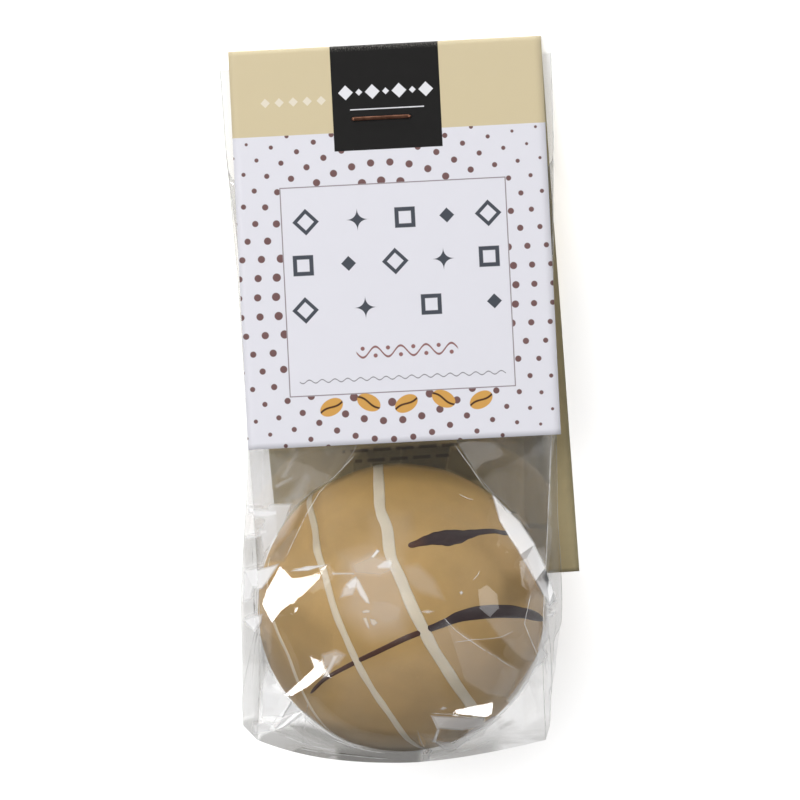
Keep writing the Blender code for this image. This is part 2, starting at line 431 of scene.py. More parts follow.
class PackColours(bpy.types.PropertyGroup):
    """Colours of the finishes."""

    caramel: colour_setting("Caramel", "Colour of the chocolate sphere", (0.475, 0.305, 0.115))
    white_chocolate: colour_setting(
        "White chocolate", "Colour of the pale drizzle", (0.69, 0.6, 0.465)
    )
    dark_chocolate: colour_setting(
        "Dark chocolate", "Colour of the dark drizzle", (0.03, 0.014, 0.015)
    )
    card_white: colour_setting("Card white", "Cool white ground of the print", (0.735, 0.73, 0.785))
    card_tan: colour_setting(
        "Card tan", "Cream band along the fold and inside of the card", (0.635, 0.542, 0.352)
    )
    card_black: colour_setting("Card black", "Black field over the fold", (0.0125, 0.012, 0.0118))
    dot_brown: colour_setting("Dot brown", "Dusty brown of the printed dots", display(112, 84, 83))
    copper: colour_setting("Copper", "Colour of the staple wire", (0.42, 0.2, 0.13))
    film_tint: colour_setting(
        "Film tint", "What one layer of film lets through", (0.945, 0.947, 0.95)
    )


class StageSettings(bpy.types.PropertyGroup):
    """Floor and light."""

    floor_white: colour_setting("Floor", "Colour of the plain floor", (0.93, 0.93, 0.93))
    side_light: FloatProperty(
        name="Side light",
        description="Strength of the small side boxes against the key light",
        default=1.0,
        min=0.0,
    )
    top_light: FloatProperty(
        name="Key light",
        description="Brightness of the large soft box beyond the header, in times white",
        default=7.4,
        min=0.0,
    )


# Chocolate sphere


def chocolate_finish(name, colour, speck, roughness, thin=None, thin_until=0.0, ease=2.0):
    """Satin chocolate with slow blotches, fine specks and a faint grain.

    Left of thin_until, in millimetres across, the lines are thin and show the thin colour.
    """
    finish = Finish(name)
    place = finish.place()
    blotch = finish.clouds(place, 7.0, 3.0)
    fine = finish.clouds(place, 0.45, 2.0)
    base = finish.mix(blotch.above(0.5, 0.5), shaded(colour, 0.9), shaded(colour, 1.07))
    base = finish.mix(fine.above(0.66, 0.12) * speck, base, shaded(colour, 1.2))
    if thin is not None:
        across = finish.split(place)[0] - SHIFT.x
        base = finish.mix(across.below(thin_until, ease), base, thin)
    gloss = blotch * 0.12 + roughness + fine * 0.06
    height = blotch * 0.5 + fine * 0.12
    return finish.surface(
        Base_Color=base,
        Roughness=gloss,
        Specular_IOR_Level=0.42,
        Subsurface_Weight=0.12,
        Subsurface_Radius=(0.9, 0.5, 0.25),
        Subsurface_Scale=0.0015,
        Normal=finish.bump(height, 0.06, 0.6),
    )


def ball_unevenness(d):
    """Slow unevenness of the sphere in a direction, from -1 to 1."""
    slow = noise.noise(d * 2.6 + Vector((3.1, 0.4, 7.7)))
    fine = noise.noise(d * 9.0 + Vector((1.7, 5.2, 2.9)))
    return 0.8 * slow + 0.2 * fine


def build_ball(sizes, material):
    """The sphere, slightly uneven as poured."""
    bm = bmesh.new()
    bmesh.ops.create_icosphere(bm, subdivisions=7, radius=1.0)
    radius = sizes.sphere_radius / MM
    depth = sizes.unevenness / MM
    places = []
    for vert in bm.verts:
        d = vert.co.normalized()
        places.append(CENTRE + d * (radius - depth + depth * ball_unevenness(d)))
    faces = [[v.index for v in f.verts] for f in bm.faces]
    bm.free()
    piece = add_piece("chocolate_ball", places, faces, [material])
    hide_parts("film_bag")
    return piece


# Drizzle, as (pixel across, pixel down, width in millimetres) along each line

DRIZZLE_SUNK = 0.07
WHITE_LINES = (
    ((378.6, 466, 2.2), (378.6, 489, 2.3), (381, 510, 2.3), (386.3, 528, 2.6), (390, 553, 2.5),
     (400, 576, 2.4), (409, 601.5, 2.3), (422, 627, 2.4), (435, 650, 2.3), (452.6, 678, 2.3),
     (468, 701, 2.2), (480, 722, 2.0)),
    ((311, 494, 1.5), (313.5, 522, 1.6), (317, 550.5, 1.7), (325, 576, 1.6), (335, 612, 1.6),
     (345.4, 637, 1.5), (358, 665, 1.6), (373.5, 691, 1.5), (389, 714, 1.4), (404, 735, 1.3)),
    ((268, 596, 0.6), (276.5, 630, 0.9), (289, 658, 0.9), (302, 691, 0.9), (315, 714, 0.8),
     (333, 733, 0.7)),
)
DARK_LINES = (
    ((408, 546, 1.1), (416, 543.5, 1.5), (428, 540, 2.3), (438, 538, 3.2), (447, 537.5, 3.8),
     (457, 536.5, 3.3), (468, 534, 2.1), (480, 532, 1.4), (494, 531, 1.2), (509, 532.5, 1.2),
     (526, 531, 1.1)),
    ((310, 694, 0.7), (325, 679, 0.8), (353, 663.5, 1.0), (379, 651, 1.1), (404, 639, 1.2),
     (420, 632.5, 1.2), (432, 628, 1.4), (446, 622.5, 1.7), (460, 616.5, 2.3), (481, 612.5, 2.9),
     (506, 611.5, 2.7), (526.5, 613.5, 2.3), (538, 617, 1.8)),
)

# How far each line runs on past its two ends, in degrees round the sphere
WHITE_TAILS = ((26.0, 26.0), (26.0, 26.0), (18.0, 18.0))
DARK_TAILS = ((0.0, 14.0), (0.0, 10.0))

# Colour of the thin part of the dark lines
THIN_DARK = (0.072, 0.028, 0.016)


def drizzle_path(line, tails):
    """Directions and widths along one line, closely spaced, run on past both ends."""
    marks = [(on_ball(x, y), width) for x, y, width in line]

    def run_on(first, second, width, degrees):
        axis = second.cross(first).normalized()
        steps = 4 if degrees else 0
        return [
            (Matrix.Rotation(math.radians(degrees * i / steps), 3, axis) @ first,
             width * (1 - 0.6 * i / steps))
            for i in range(1, steps + 1)
        ]

    head = run_on(marks[0][0], marks[1][0], marks[0][1], tails[0])
    tail = run_on(marks[-1][0], marks[-2][0], marks[-1][1], tails[1])
    marks = list(reversed(head)) + marks + tail
    path = []
    fine = 7
    for k in range(len(marks) - 1):
        a = marks[max(k - 1, 0)]
        b = marks[k]
        c = marks[k + 1]
        d = marks[min(k + 2, len(marks) - 1)]
        for i in range(fine):
            t = i / fine
            spot = 0.5 * (
                2 * b[0]
                + (c[0] - a[0]) * t
                + (2 * a[0] - 5 * b[0] + 4 * c[0] - d[0]) * t**2
                + (3 * b[0] - a[0] - 3 * c[0] + d[0]) * t**3
            )
            path.append((spot.normalized(), b[1] + (c[1] - b[1]) * smooth(t)))
    path.append(marks[-1])
    return path


def drizzle_mesh(path, rise, uneven, seed, places, faces):
    """A ribbon with a rounded top lying on the sphere; its underside is sunk in."""
    across = 8
    ring = 2 * across
    start = len(places)
    last = len(path) - 1
    for k, (d, width) in enumerate(path):
        ahead = path[min(k + 1, last)][0] - path[max(k - 1, 0)][0]
        side = d.cross(ahead).normalized()
        wobble = noise.noise(Vector((k * 0.23, seed, 0.0)))
        drift = noise.noise(Vector((k * 0.11, seed, 9.0))) * 0.8 * uneven * width
        blunt = math.sqrt(max(1e-4, min(1.0, k / 3.0, (last - k) / 3.0)))
        half = width / 2 * (1 + uneven * wobble) * blunt
        for i in range(ring):
            turn = math.pi * i / across
            reach = math.cos(turn)
            top = math.sin(turn)
            height = rise * blunt * (1 + 0.3 * wobble) * max(top, 0.0) ** 0.7
            if top < -1e-6:
                height = 0.12 * top
            spot = (d * SPHERE_R + side * (half * reach + drift)).normalized()
            places.append(CENTRE + spot * (SPHERE_R - DRIZZLE_SUNK + height))
    faces += tube_faces(start, last, ring)
    faces.append(tuple(start + i for i in reversed(range(ring))))
    faces.append(tuple(start + last * ring + i for i in range(ring)))


def build_drizzle(name, lines, tails, rise, uneven, material):
    """All lines of one chocolate as one piece, on the slot of the same name."""
    places = []
    faces = []
    for number, (line, tail) in enumerate(zip(lines, tails)):
        path = drizzle_path(line, tail)
        drizzle_mesh(path, rise / MM, uneven, 3.7 * number + 1.3, places, faces)
    piece = add_piece(name, places, faces, [material])
    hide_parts("film_bag")
    bm = bmesh.new()
    bm.from_mesh(piece.data)
    bmesh.ops.recalc_face_normals(bm, faces=bm.faces[:])
    bm.to_mesh(piece.data)
    bm.free()
    return piece


# Header card

CARD_UNIT = 250.0
BACK_REACH = 150.0
BAND_END = 17.65
PRINT = {
    "frame": display(116, 98, 100),
    "marks": display(72, 76, 84),
    "scroll": display(142, 100, 98),
    "wave": display(96, 92, 96),
    "bean": display(208, 158, 84),
    "slit": display(74, 50, 36),
    "chain": display(238, 232, 222),
    "row": display(226, 226, 230),
    "fold_flecks": display(210, 205, 195),
    "mottle": display(196, 196, 200),
}
ROW_MARKS = (
    (35.4, (14.0, 24.5, 34.2, 42.7, 51.1)),
    (44.2, (13.1, 22.3, 31.8, 41.6, 50.9)),
    (53.3, (13.1, 25.3, 38.7, 51.5)),
)


def back_mid(y):
    """Mid height and slope of the back panel: flat, an arch, then the slope."""
    y_end = (V_TOP - STAPLE_FROM_FOLD - 1.5) * COS + W_BACK_MID * SIN
    if y <= FLAT_FROM_Y:
        return CARD_T / 2, 0.0
    if y >= y_end:
        return slope_height(y, W_BACK_MID), -SIN / COS
    span = y_end - FLAT_FROM_Y
    t = (y - FLAT_FROM_Y) / span
    low = CARD_T / 2
    high = slope_height(y_end, W_BACK_MID)
    rate = -SIN / COS * span
    z = (2 * t**3 - 3 * t**2 + 1) * low + (3 * t**2 - 2 * t**3) * high + (t**3 - t**2) * rate
    dz = (6 * t**2 - 6 * t) * low + (6 * t - 6 * t**2) * high + (3 * t**2 - 2 * t) * rate
    return z, dz / span


def slope_height(y, w):
    """Height of the sloping level w at the distance y."""
    return SPHERE_Z + (w - y * SIN) / COS


def card_grid():
    """Rows of the card's mid surface with how far each lies from the fold, in millimetres."""
    half = CARD_W / 2
    columns = 40
    across = [-half + CARD_W * i / columns for i in range(columns + 1)]
    rows = []
    steps = 64
    for i in range(steps + 1):
        v = V_TOP - FRONT_LEN + (V_FOLD - (V_TOP - FRONT_LEN)) * i / steps
        free = smooth((V_TOP - 30.0 - v) / 50.0)
        row = []
        for x in across:
            bow = 0.12 * free * noise.noise(Vector((x / 26.0, v / 30.0, 2.0)))
            row.append(turned(slope_point(HEADER_SHIFT + x, v, W_FRONT_MID + bow)))
        rows.append((V_TOP - v, row))
    turns = 16
    for i in range(1, turns):
        angle = math.pi * i / turns
        v = V_FOLD + FOLD_R * math.sin(angle)
        w = W_FOLD + FOLD_R * math.cos(angle)
        length = V_TOP - V_FOLD - FOLD_R * angle
        rows.append((length, [turned(slope_point(HEADER_SHIFT + x, v, w)) for x in across]))
    y_fold = slope_point(0.0, V_FOLD, W_BACK_MID).y
    steps = 110
    run = V_TOP - V_FOLD - FOLD_R * math.pi
    before = None
    for i in range(steps + 1):
        dy = (BACK_END_Y - y_fold) * i / steps
        turn = BACK_TURN * smooth(-dy / 9.0)
        row = []
        for x in across:
            y = y_fold + x * math.sin(turn) + dy * math.cos(turn)
            px = HEADER_SHIFT + x * math.cos(turn) - dy * math.sin(turn)
            row.append(turned(Vector((px, y, back_mid(y)[0]))))
        middle = row[columns // 2]
        if before is not None:
            run -= (middle - before).length
        before = middle
        rows.append((run, row))
    return across, rows


def build_card(materials):
    """The folded card as one sheet: printed outside, plain inside, pale cut edge."""
    across, rows = card_grid()
    places = [p for _, row in rows for p in row]
    wide = len(across)
    faces = []
    for k in range(len(rows) - 1):
        for i in range(wide - 1):
            a = k * wide + i
            faces.append((a, a + 1, a + wide + 1, a + wide))
    piece = add_piece("header_print", places, faces, materials)
    sheet = piece.data.uv_layers.new(name="card_place")
    spots = []
    for run, row in rows:
        for x in across:
            spots.append(((x + CARD_W / 2) / CARD_UNIT, (run + BACK_REACH) / CARD_UNIT))
    for loop in piece.data.loops:
        sheet.data[loop.index].uv = spots[loop.vertex_index]
    thick = piece.modifiers.new("thickness", "SOLIDIFY")
    thick.thickness = CARD_T * MM
    thick.offset = 0.0
    thick.use_even_offset = True
    thick.material_offset = 1
    thick.material_offset_rim = 2
    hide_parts("header_card")
    return piece


def card_coordinates(finish):
    """Millimetres from the card's left edge and from the fold, down the front."""
    raw = finish.node("ShaderNodeUVMap", {"uv_map": "card_place"})
    u, v, _ = finish.split(raw)
    return u * CARD_UNIT, v * CARD_UNIT - BACK_REACH


def box_mask(p, q, left, right, near, far, blur=0.08):
    """1 inside a rectangle of the card."""
    return p.above(left, blur) * p.below(right, blur) * q.above(near, blur) * q.below(far, blur)


def diamond(p, q, x, y, reach, blur=0.1):
    """1 inside a diamond standing on its point."""
    return (abs(p - x) + abs(q - y)).below(reach, blur)


def ring_dots(p, q):
    """Dots on rings round one point, smaller outward."""
    ring_x, ring_y, ring_step = 29.75, 50.25, 3.75
    dx = p - ring_x
    dy = q - ring_y
    reach = (dx * dx + dy * dy).math("SQRT")
    ring = (reach / ring_step).math("ROUND")
    count = ring * 6.0
    angle = dy.math("ARCTAN2", dx) / (2 * math.pi)
    turn = (angle * count + 100.5).math("FRACT") - 0.5
    side = turn * (2 * math.pi) * ring_step * ring / count.most(1.0)
    out = reach - ring * ring_step
    gap = (side * side + out * out).math("SQRT")
    size = (0.95 - abs(ring - 5.0) * 0.105).most(0.3)
    return gap.below(size, 0.12)


def mark_masks(p, q):
    """Plain shapes in three widely spaced rows: diamonds, stars, squares and dots."""
    size = 2.45
    line = 0.42
    shapes = []
    for number, (row, places) in enumerate(ROW_MARKS):
        for k, x in enumerate(places):
            dx = abs(p - x)
            dy = abs(q - row)
            kind = (k + 2 * number) % 4
            if kind == 0:
                shape = abs(dx + dy - size * 0.9).below(line * 1.2, 0.12)
            elif kind == 1:
                shape = (dx.math("SQRT") + dy.math("SQRT")).below(math.sqrt(size), 0.05)
            elif kind == 2:
                shape = abs(dx.most(dy) - size * 0.68).below(line, 0.12)
            else:
                shape = (dx + dy).below(size * 0.62, 0.12)
            shapes.append(shape)
    return most_of(shapes)


def scroll_mask(p, q):
    """A running scroll with leaf dots on both sides."""
    left, right, middle, wavelength = 23.0, 43.6, 62.4, 5.15
    window = p.above(left, 0.3) * p.below(right, 0.3)
    wave = ((p - left) * (2 * math.pi / wavelength)).math("SINE") * 1.05
    stem = abs(q - middle - wave).below(0.22, 0.14)
    half_waves = (p - left) / (wavelength / 2)
    half_wave = half_waves.math("FRACT") - 0.5
    side = (half_waves.math("FLOOR") * math.pi).math("COSINE")
    lift = q - middle + side * 0.75
    leaf = (half_wave * half_wave * 6.6 + lift * lift).math("SQRT").below(0.42, 0.14)
    return window * stem.most(leaf)


def bean_masks(p, q):
    """A row of small oval beans, as body and slit masks."""
    bodies = []
    slits = []
    for k, x in enumerate((17.4, 25.0, 32.6, 40.2, 47.8)):
        lean = math.radians(28.0 if k % 2 else -28.0)
        dx = p - x
        dy = q - (72.6 if k % 2 else 73.2)
        along = dx * math.cos(lean) + dy * math.sin(lean)
        over = dy * math.cos(lean) - dx * math.sin(lean)
        oval = ((along / 2.5) ** 2.0 + (over / 1.65) ** 2.0).below(1.0, 0.12)
        bow = (along * 1.1).math("SINE") * 0.28
        bodies.append(oval)
        slits.append(abs(over - bow).below(0.2, 0.12) * oval)
    return most_of(bodies), most_of(slits)


def print_finish(colours):
    """Outside of the card: cream band, cool white field, black field, dots and plain marks."""
    finish = Finish("printed_card")
    p, q = card_coordinates(finish)
    place = finish.place()
    mottle = finish.clouds(place, 2.2, 3.0)
    fibre = finish.clouds(place, 0.22, 2.0)

    front = q.above(-1.3, 0.05)
    ground = finish.mix(q.above(BAND_END, 0.06) * front, colours.card_tan, colours.card_white)
    dots = ring_dots(p, q) * q.above(BAND_END, 0.05)
    inside = box_mask(p, q, 9.0, 55.0, 28.2, 70.8)
    brown = colours.dot_brown
    shade = finish.mix(mottle.above(0.5, 0.6), brown, shaded(brown, 1.15))
    ground = finish.mix(dots * (1 - inside), ground, shade)
    rim = inside * (1 - box_mask(p, q, 9.22, 54.78, 28.42, 70.58))
    ground = finish.mix(rim * 0.8, ground, PRINT["frame"])
    ground = finish.mix(mark_masks(p, q), ground, PRINT["marks"])
    ground = finish.mix(scroll_mask(p, q), ground, PRINT["scroll"])
    wave = ((p - 11.2) * (2 * math.pi / 2.6)).math("SINE") * 0.32
    wave = abs(q - 67.8 - wave).below(0.11, 0.1) * box_mask(p, q, 11.2, 53.1, 66.0, 70.0)
    ground = finish.mix(wave * 0.8, ground, PRINT["wave"])
    body, slit = bean_masks(p, q)
    ground = finish.mix(body, ground, PRINT["bean"])
    ground = finish.mix(slit, ground, PRINT["slit"])
    chain = most_of(diamond(p, q, 7.0 + 2.85 * k, 10.9, 0.95) for k in range(5))
    ground = finish.mix(chain * 0.6, ground, PRINT["chain"])

    black = box_mask(p, abs(q), 20.6, 42.6, -1.0, 21.4)
    worn = shaded(colours.card_black, 1.12)
    dark = finish.mix(mottle.above(0.5, 0.6), colours.card_black, worn)
    ground = finish.mix(black, ground, dark)
    row = most_of(diamond(p, q, 23.4 + 2.72 * k, 9.6, (1.5, 0.7)[k % 2]) for k in range(7))
    row = row * front
    rule = box_mask(p, q, 24.2, 39.2, 13.0, 13.22)
    ground = finish.mix(row.most(rule), ground, PRINT["row"])

    # Paler flecks along the fold, broken by the fibres
    fold_flecks = abs(q).below(0.9, 0.8) * fibre.above(0.56, 0.2)
    ground = finish.mix(fold_flecks * 0.22, ground, PRINT["fold_flecks"])
    ground = finish.mix((mottle - 0.5) * 0.06 * (1 - black), ground, PRINT["mottle"])
    rough = 0.46 + mottle * 0.08 - black * 0.06
    return finish.surface(
        Base_Color=ground,
        Roughness=rough,
        Specular_IOR_Level=0.24,
        Normal=finish.bump(fibre * 0.5 + mottle * 0.5, 0.02, 0.5),
    )


def inside_finish():
    """Inside of the card: khaki board with fibres and a few thin printed bars."""
    finish = Finish("card_inside")
    p, q = card_coordinates(finish)
    place = finish.place()
    mottle = finish.clouds(place, 3.0, 4.0)
    fibre = finish.clouds(place, 0.3, 3.0)
    khaki = display(204, 190, 149)
    base = finish.mix(mottle.above(0.5, 0.6), shaded(khaki, 0.95), shaded(khaki, 1.04))
    base = finish.mix(fibre.above(0.6, 0.25) * 0.2, base, shaded(khaki, 1.15))
    bars = []
    for k in range(3):
        level = -96.6 - 2.5 * k
        bar = box_mask(p, q, 13.0 + 2.5 * k, 42.0 - 2.0 * k, level - 0.4, level + 0.4, 0.3)
        bars.append(bar * (p * 1.3 + 1.9 * k).math("SINE").above(-0.75, 0.3))
    base = finish.mix(most_of(bars) * 0.7, base, display(70, 58, 44))
    return finish.surface(
        Base_Color=base,
        Roughness=0.62 + mottle * 0.1,
        Specular_IOR_Level=0.3,
        Normal=finish.bump(fibre, 0.03, 0.6),
    )


def edge_finish():
    """Cut edge of the card: pale board with fine layers."""
    finish = Finish("card_edge")
    place = finish.place()
    fibre = finish.clouds(place, 0.25, 3.0)
    base = finish.mix(fibre, display(205, 198, 182), display(232, 228, 218))
    return finish.surface(
        Base_Color=base,
        Roughness=0.8,
        Specular_IOR_Level=0.2,
        Normal=finish.bump(fibre, 0.04, 0.6),
    )


# Staple


def wire_finish(colours):
    """Copper-coloured wire, drawn and a little dull."""
    finish = Finish("copper_wire")
    place = finish.place()
    drawn = finish.clouds(place, 0.16, 3.0)
    dull = finish.clouds(place, 1.4, 2.0)
    base = finish.mix(dull.above(0.52, 0.3), colours.copper, shaded(colours.copper, 0.62))
    return finish.surface(
        Base_Color=base,
        Metallic=1.0,
        Roughness=0.3 + dull * 0.18,
        Normal=finish.bump(drawn, 0.015, 0.6),
    )


def staple_path():
    """Centre line of the wire: clinched end, leg, crown, leg, clinched end."""
    half = STAPLE_SPAN / 2 - WIRE_R
    top = W_FRONT_FACE + GAP + WIRE_R
    low = W_BACK_FACE - GAP - WIRE_R
    bend_r = 0.6
    steps = 8
    side = [(half - CLINCH, low), (half - CLINCH / 2, low), (half - bend_r, low)]
    for i in range(1, steps):
        a = math.pi / 2 * i / steps
        side.append((half - bend_r + bend_r * math.sin(a), low + bend_r - bend_r * math.cos(a)))
    side.append((half, low + bend_r))
    side.append((half, top - bend_r))
    for i in range(1, steps):
        a = math.pi / 2 * i / steps
        side.append((half - bend_r + bend_r * math.cos(a), top - bend_r + bend_r * math.sin(a)))
    side.append((half - bend_r, top))
    crown = [(x, top - 0.05 * (1 - (x / half) ** 2)) for x in (4.0, 2.0, 0.0, -2.0, -4.0)]
    return side + crown + [(-x, w) for x, w in reversed(side)]


def build_staple(material):
    """Round wire swept along the path, its ends cut square."""
    path = staple_path()
    v = V_TOP - STAPLE_FROM_FOLD
    ring = 14
    places = []
    last = len(path) - 1
    for k, (x, w) in enumerate(path):
        ahead = Vector(path[min(k + 1, last)]) - Vector(path[max(k - 1, 0)])
        ahead.normalize()
        out = Vector((-ahead.y, ahead.x))
        r = WIRE_R * (0.86 if k in (0, last) else 1.0)
        for i in range(ring):
            a = 2 * math.pi * i / ring
            along = x + out.x * r * math.cos(a) * WIRE_FLAT
            over = w + out.y * r * math.cos(a) * WIRE_FLAT
            places.append(turned(slope_point(STAPLE_X + along, v + r * math.sin(a), over)))
    faces = tube_faces(0, last, ring)
    faces.append(tuple(reversed(range(ring))))
    faces.append(tuple(last * ring + i for i in range(ring)))
    piece = add_piece("staple_wire", places, faces, [material])
    piece.data.set_sharp_from_angle(angle=math.radians(50))
    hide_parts("staple")
    return piece


# Clear bag

# Tint of the film's painted shade
PAINTED_SHADE_TINT = (0.2, 0.193, 0.175)
# Colour of the film's painted sheen and highlights
PAINTED_HIGHLIGHT_COLOUR = (0.88, 0.878, 0.885)


def patch(finish, spot, strength, blur, corners):
    """The strength inside a convex patch of the front film, falling off over the blur.

    It goes on falling below 0 outside the patch, so it is kept from below 0 where it is used.
    """
    count = len(corners)
    turn = sum(
        corners[i][0] * corners[(i + 1) % count][1] - corners[(i + 1) % count][0] * corners[i][1]
        for i in range(count)
    )
    slope = strength / blur if turn > 0 else -strength / blur
    inner = None
    for i in range(count):
        a = Vector(corners[i])
        along = (Vector(corners[(i + 1) % count]) - a).normalized()
        inward = Vector((-along.y, along.x)) * slope
        side = (inward.x, inward.y, 0.5 * strength - inward.dot(a))
        gap = finish.node(
            "ShaderNodeVectorMath", {"operation": "DOT_PRODUCT"}, {0: spot, 1: side}, out=1
        )
        inner = gap if inner is None else inner.least(gap)
    return inner.least(strength)


def patch_marks(bag, corners):
    """The corners of a patch across and up the film."""
    marks = [bag.spot_at(px, py) for px, py in corners]
    return [(p.x, p.y * COS - (p.z - SPHERE_Z) * SIN) for p in marks]


def patches(finish, spot, placed, low, high):
    """The strongest at each place of those patches that reach into a zone across the bag."""
    made = []
    for strength, blur, flat in placed:
        if max(x for x, _ in flat) >= low and min(x for x, _ in flat) <= high:
            made.append(patch(finish, spot, strength, blur, flat))
    return most_of(made).most(0.0) if made else 0.0


def film_finish(colours, bag):
    """Thin clear film: lets light through, mirrors at a slant, with painted shade darkening it in
    patches and painted sheen whitening it in others.
    """
    finish = Finish("clear_film")
    place = finish.place()
    haze = finish.clouds(place, 9.0, 3.0)
    fine = finish.clouds(place, 1.1, 2.0)
    normal = finish.bump(haze * 0.8 + fine * 0.05, 0.05, 0.25)
    mirror = finish.node(
        "ShaderNodeBsdfGlossy",
        {"distribution": "GGX"},
        {"Color": (1.0, 1.0, 1.0, 1.0), "Roughness": 0.06, "Normal": normal},
    )
    clear = finish.node("ShaderNodeBsdfTransparent", None, {"Color": rgba(colours.film_tint)})
    painted_shade_layer = finish.node("ShaderNodeBsdfTransparent", None, {"Color": rgba(PAINTED_SHADE_TINT)})
    # A pale diffuse layer that paints sheen and highlights onto the film
    pale = finish.node("ShaderNodeBsdfDiffuse", None, {"Color": rgba(PAINTED_HIGHLIGHT_COLOUR), "Roughness": 0.5})
    east, north, height = finish.split(place)
    x = east - SHIFT.x
    y = north - SHIFT.y
    v = y * COS - (height - SPHERE_Z) * SIN
    spot = finish.node("ShaderNodeCombineXYZ", None, {0: x, 1: v, 2: 1.0})
    beside = abs(x - FRONT_MIDDLE_X).above(FRONT_HALF, 0.4)
    front = height.above(FRONT_FROM_Z, 3.0).most(beside)
    away = (x * x + v * v).math("SQRT")
    outside = away.above(BALL_EDGE, 0.6)
    foot = outside * v.below(FOOT_FROM, 7.0)
    folds = finish.node("ShaderNodeCombineXYZ", None, {0: x * 0.09, 1: v * 0.62, 2: height * 0.05})
    streaks = finish.clouds(folds, 1.0, 2.0).above(0.5, 0.16)
    # Painted shade: darker streaks in the folds at the foot, below the sphere, and the film a little
    # darker all round beyond the sphere
    folded = foot * (streaks * 0.22 + 0.1) + outside * 0.03
    slant = finish.node("ShaderNodeFresnel", None, {"IOR": 1.62})
    slanted = slant * 1.2 + 0.01
    cap = 0.1 - away.above(23.0, 4.0) * 0.07 + outside * 0.08

    def mixed(share, first, second):
        return finish.node("ShaderNodeMixShader", None, {0: share, 1: first, 2: second})

    def laid(table):
        return [(strength, blur, patch_marks(bag, corners)) for strength, blur, corners in table]

    highlight_marks, shade_marks, glint = laid(PAINTED_HIGHLIGHTS), laid(PAINTED_SHADE), laid(GLINT)
    facets = []
    for _, outline, _ in FRONT_FACETS:
        hull = [outline[i] for i in convex_hull_2d(outline)]
        facets.append((0.08, 0.4, patch_marks(bag, hull)))
    detailed = None
    for low, high in ZONES:
        # Per zone, painted shade darkens what the film lets through and painted sheen lays the pale
        # diffuse over it
        darker = patches(finish, spot, shade_marks, low, high)
        painted_highlight_share = patches(finish, spot, highlight_marks, low, high)
        least = cap.most(patches(finish, spot, facets, low, high) + 0.02)
        through_film = mixed(folded.most(darker), clear, painted_shade_layer)
        share = slanted.least(least).most(patches(finish, spot, glint, low, high))
        zone = mixed(painted_highlight_share, mixed(share, through_film, mirror), pale)
        detailed = zone if detailed is None else mixed(x.above(low, 0.02), detailed, zone)
    plain = mixed(slanted.least(cap), mixed(folded, clear, painted_shade_layer), mirror)
    finish.node("ShaderNodeOutputMaterial", None, {"Surface": mixed(front, plain, detailed)})
    return finish.material


def front_crease(y):
    """Half width and height of the front crease along the bag."""
    half = [(-31.0, 30.4), (0.0, 29.2), (22.0, 30.0), (45.0, 31.2), (75.0, 32.2)]
    half.append((FLAT_TOP_Y, TOP_HALF))
    high = [(-31.0, 33.0), (-16.0, 40.6), (0.0, 43.8), (20.0, 39.4), (45.0, 30.4), (75.0, 20.0)]
    high.append((FLAT_TOP_Y, slope_height(FLAT_TOP_Y, W_FILM_TOP)))
    if y >= FLAT_TOP_Y:
        return TOP_HALF + 0.025 * (y - FLAT_TOP_Y), slope_height(y, W_FILM_TOP)
    return through(half, y), through(high, y)


def back_crease(y, right):
    """Half width and height of the back crease on one side; the right end is tucked in."""
    mid, rate = back_mid(y)
    lift = (CARD_T / 2 + GAP) * math.sqrt(1 + rate * rate)
    half = [(END_Y, 34.1), (-18.0, 34.4), (-2.6, 33.6), (7.5, 32.9), (22.0, 32.2), (60.0, 32.2)]
    if right:
        half = [(END_Y, 32.7), (-26.5, 32.9), (-22.5, 34.3), (-9.0, 34.1), (5.0, 33.2), (60.0, 32.2)]
    half += [(79.0, 32.4), (FLAT_TOP_Y, TOP_HALF), (114.0, 33.7)]
    return through(half, y), mid + lift


def end_crest(x):
    """Height of the crease between the front panel and the end wall, fuller on the left."""
    fullness = 1.6 if x > 0 else 2.5
    return END_CREST - END_FALL * (abs(x) / 31.0) ** fullness


def taut_wrap():
    """Smallest bulging shape round the sphere and the creases."""
    bm = bmesh.new()
    place = Matrix.Translation((0, 0, SPHERE_Z))
    bmesh.ops.create_uvsphere(bm, u_segments=160, v_segments=110, radius=WRAP_R, matrix=place)
    for i in range(-31, 99, 3):
        half, high = front_crease(i)
        bm.verts.new((half, i, high))
        bm.verts.new((-half, i, high))
    for i in range(-31, 32, 2):
        bm.verts.new((i, END_Y + END_LEAN, end_crest(i)))
    flat = slope_height(FLAT_TOP_Y, W_FILM_TOP)
    for x in (-TOP_HALF, TOP_HALF):
        bm.verts.new((x, FLAT_TOP_Y, flat))
        bm.verts.new((x, FLAT_TOP_Y, 0.0))
        bm.verts.new((x, END_Y, 0.0))
    hull = bmesh.ops.convex_hull(bm, input=bm.verts[:])
    loose = [v for v in hull["geom_interior"] if isinstance(v, bmesh.types.BMVert)]
    bmesh.ops.delete(bm, geom=loose, context="VERTS")
    tree = BVHTree.FromBMesh(bm)
    bm.free()
    return tree


def gusset_fold(y, right):
    """Half width and height of the inner crease of one side gusset."""
    f_half, f_high = front_crease(y)
    b_half, b_high = back_crease(y, right)
    open_by = f_high - b_high
    middle = (f_high + b_high) / 2
    height = through([(-12.0, 27.0), (0.0, 26.6), (9.0, 25.4), (20.5, 19.8), (32.0, 17.0)], y)
    height = height + (middle - height) * smooth((y - 26.0) / 14.0)
    share = (height - b_high) / max(open_by, 0.1)
    wall = b_half + (f_half - b_half) * share
    reach = WRAP_R**2 - y * y - (height - SPHERE_Z) ** 2
    ball = math.sqrt(reach) + 0.25 if reach > 0 else 0.0
    inner = min(math.sqrt(max(through(GUSSET_IN[right], y), ball) ** 2 + 4.0), wall)
    if y < 0:
        inner = inner + (wall - inner) * smooth(-y / 12.0)
        inner = inner + SIDE_BULGE[right] * smooth(-(y + 8.0) / 20.0)
    opened = smooth((open_by - 1.2) / 5.0)
    return wall + (inner - wall) * opened, height


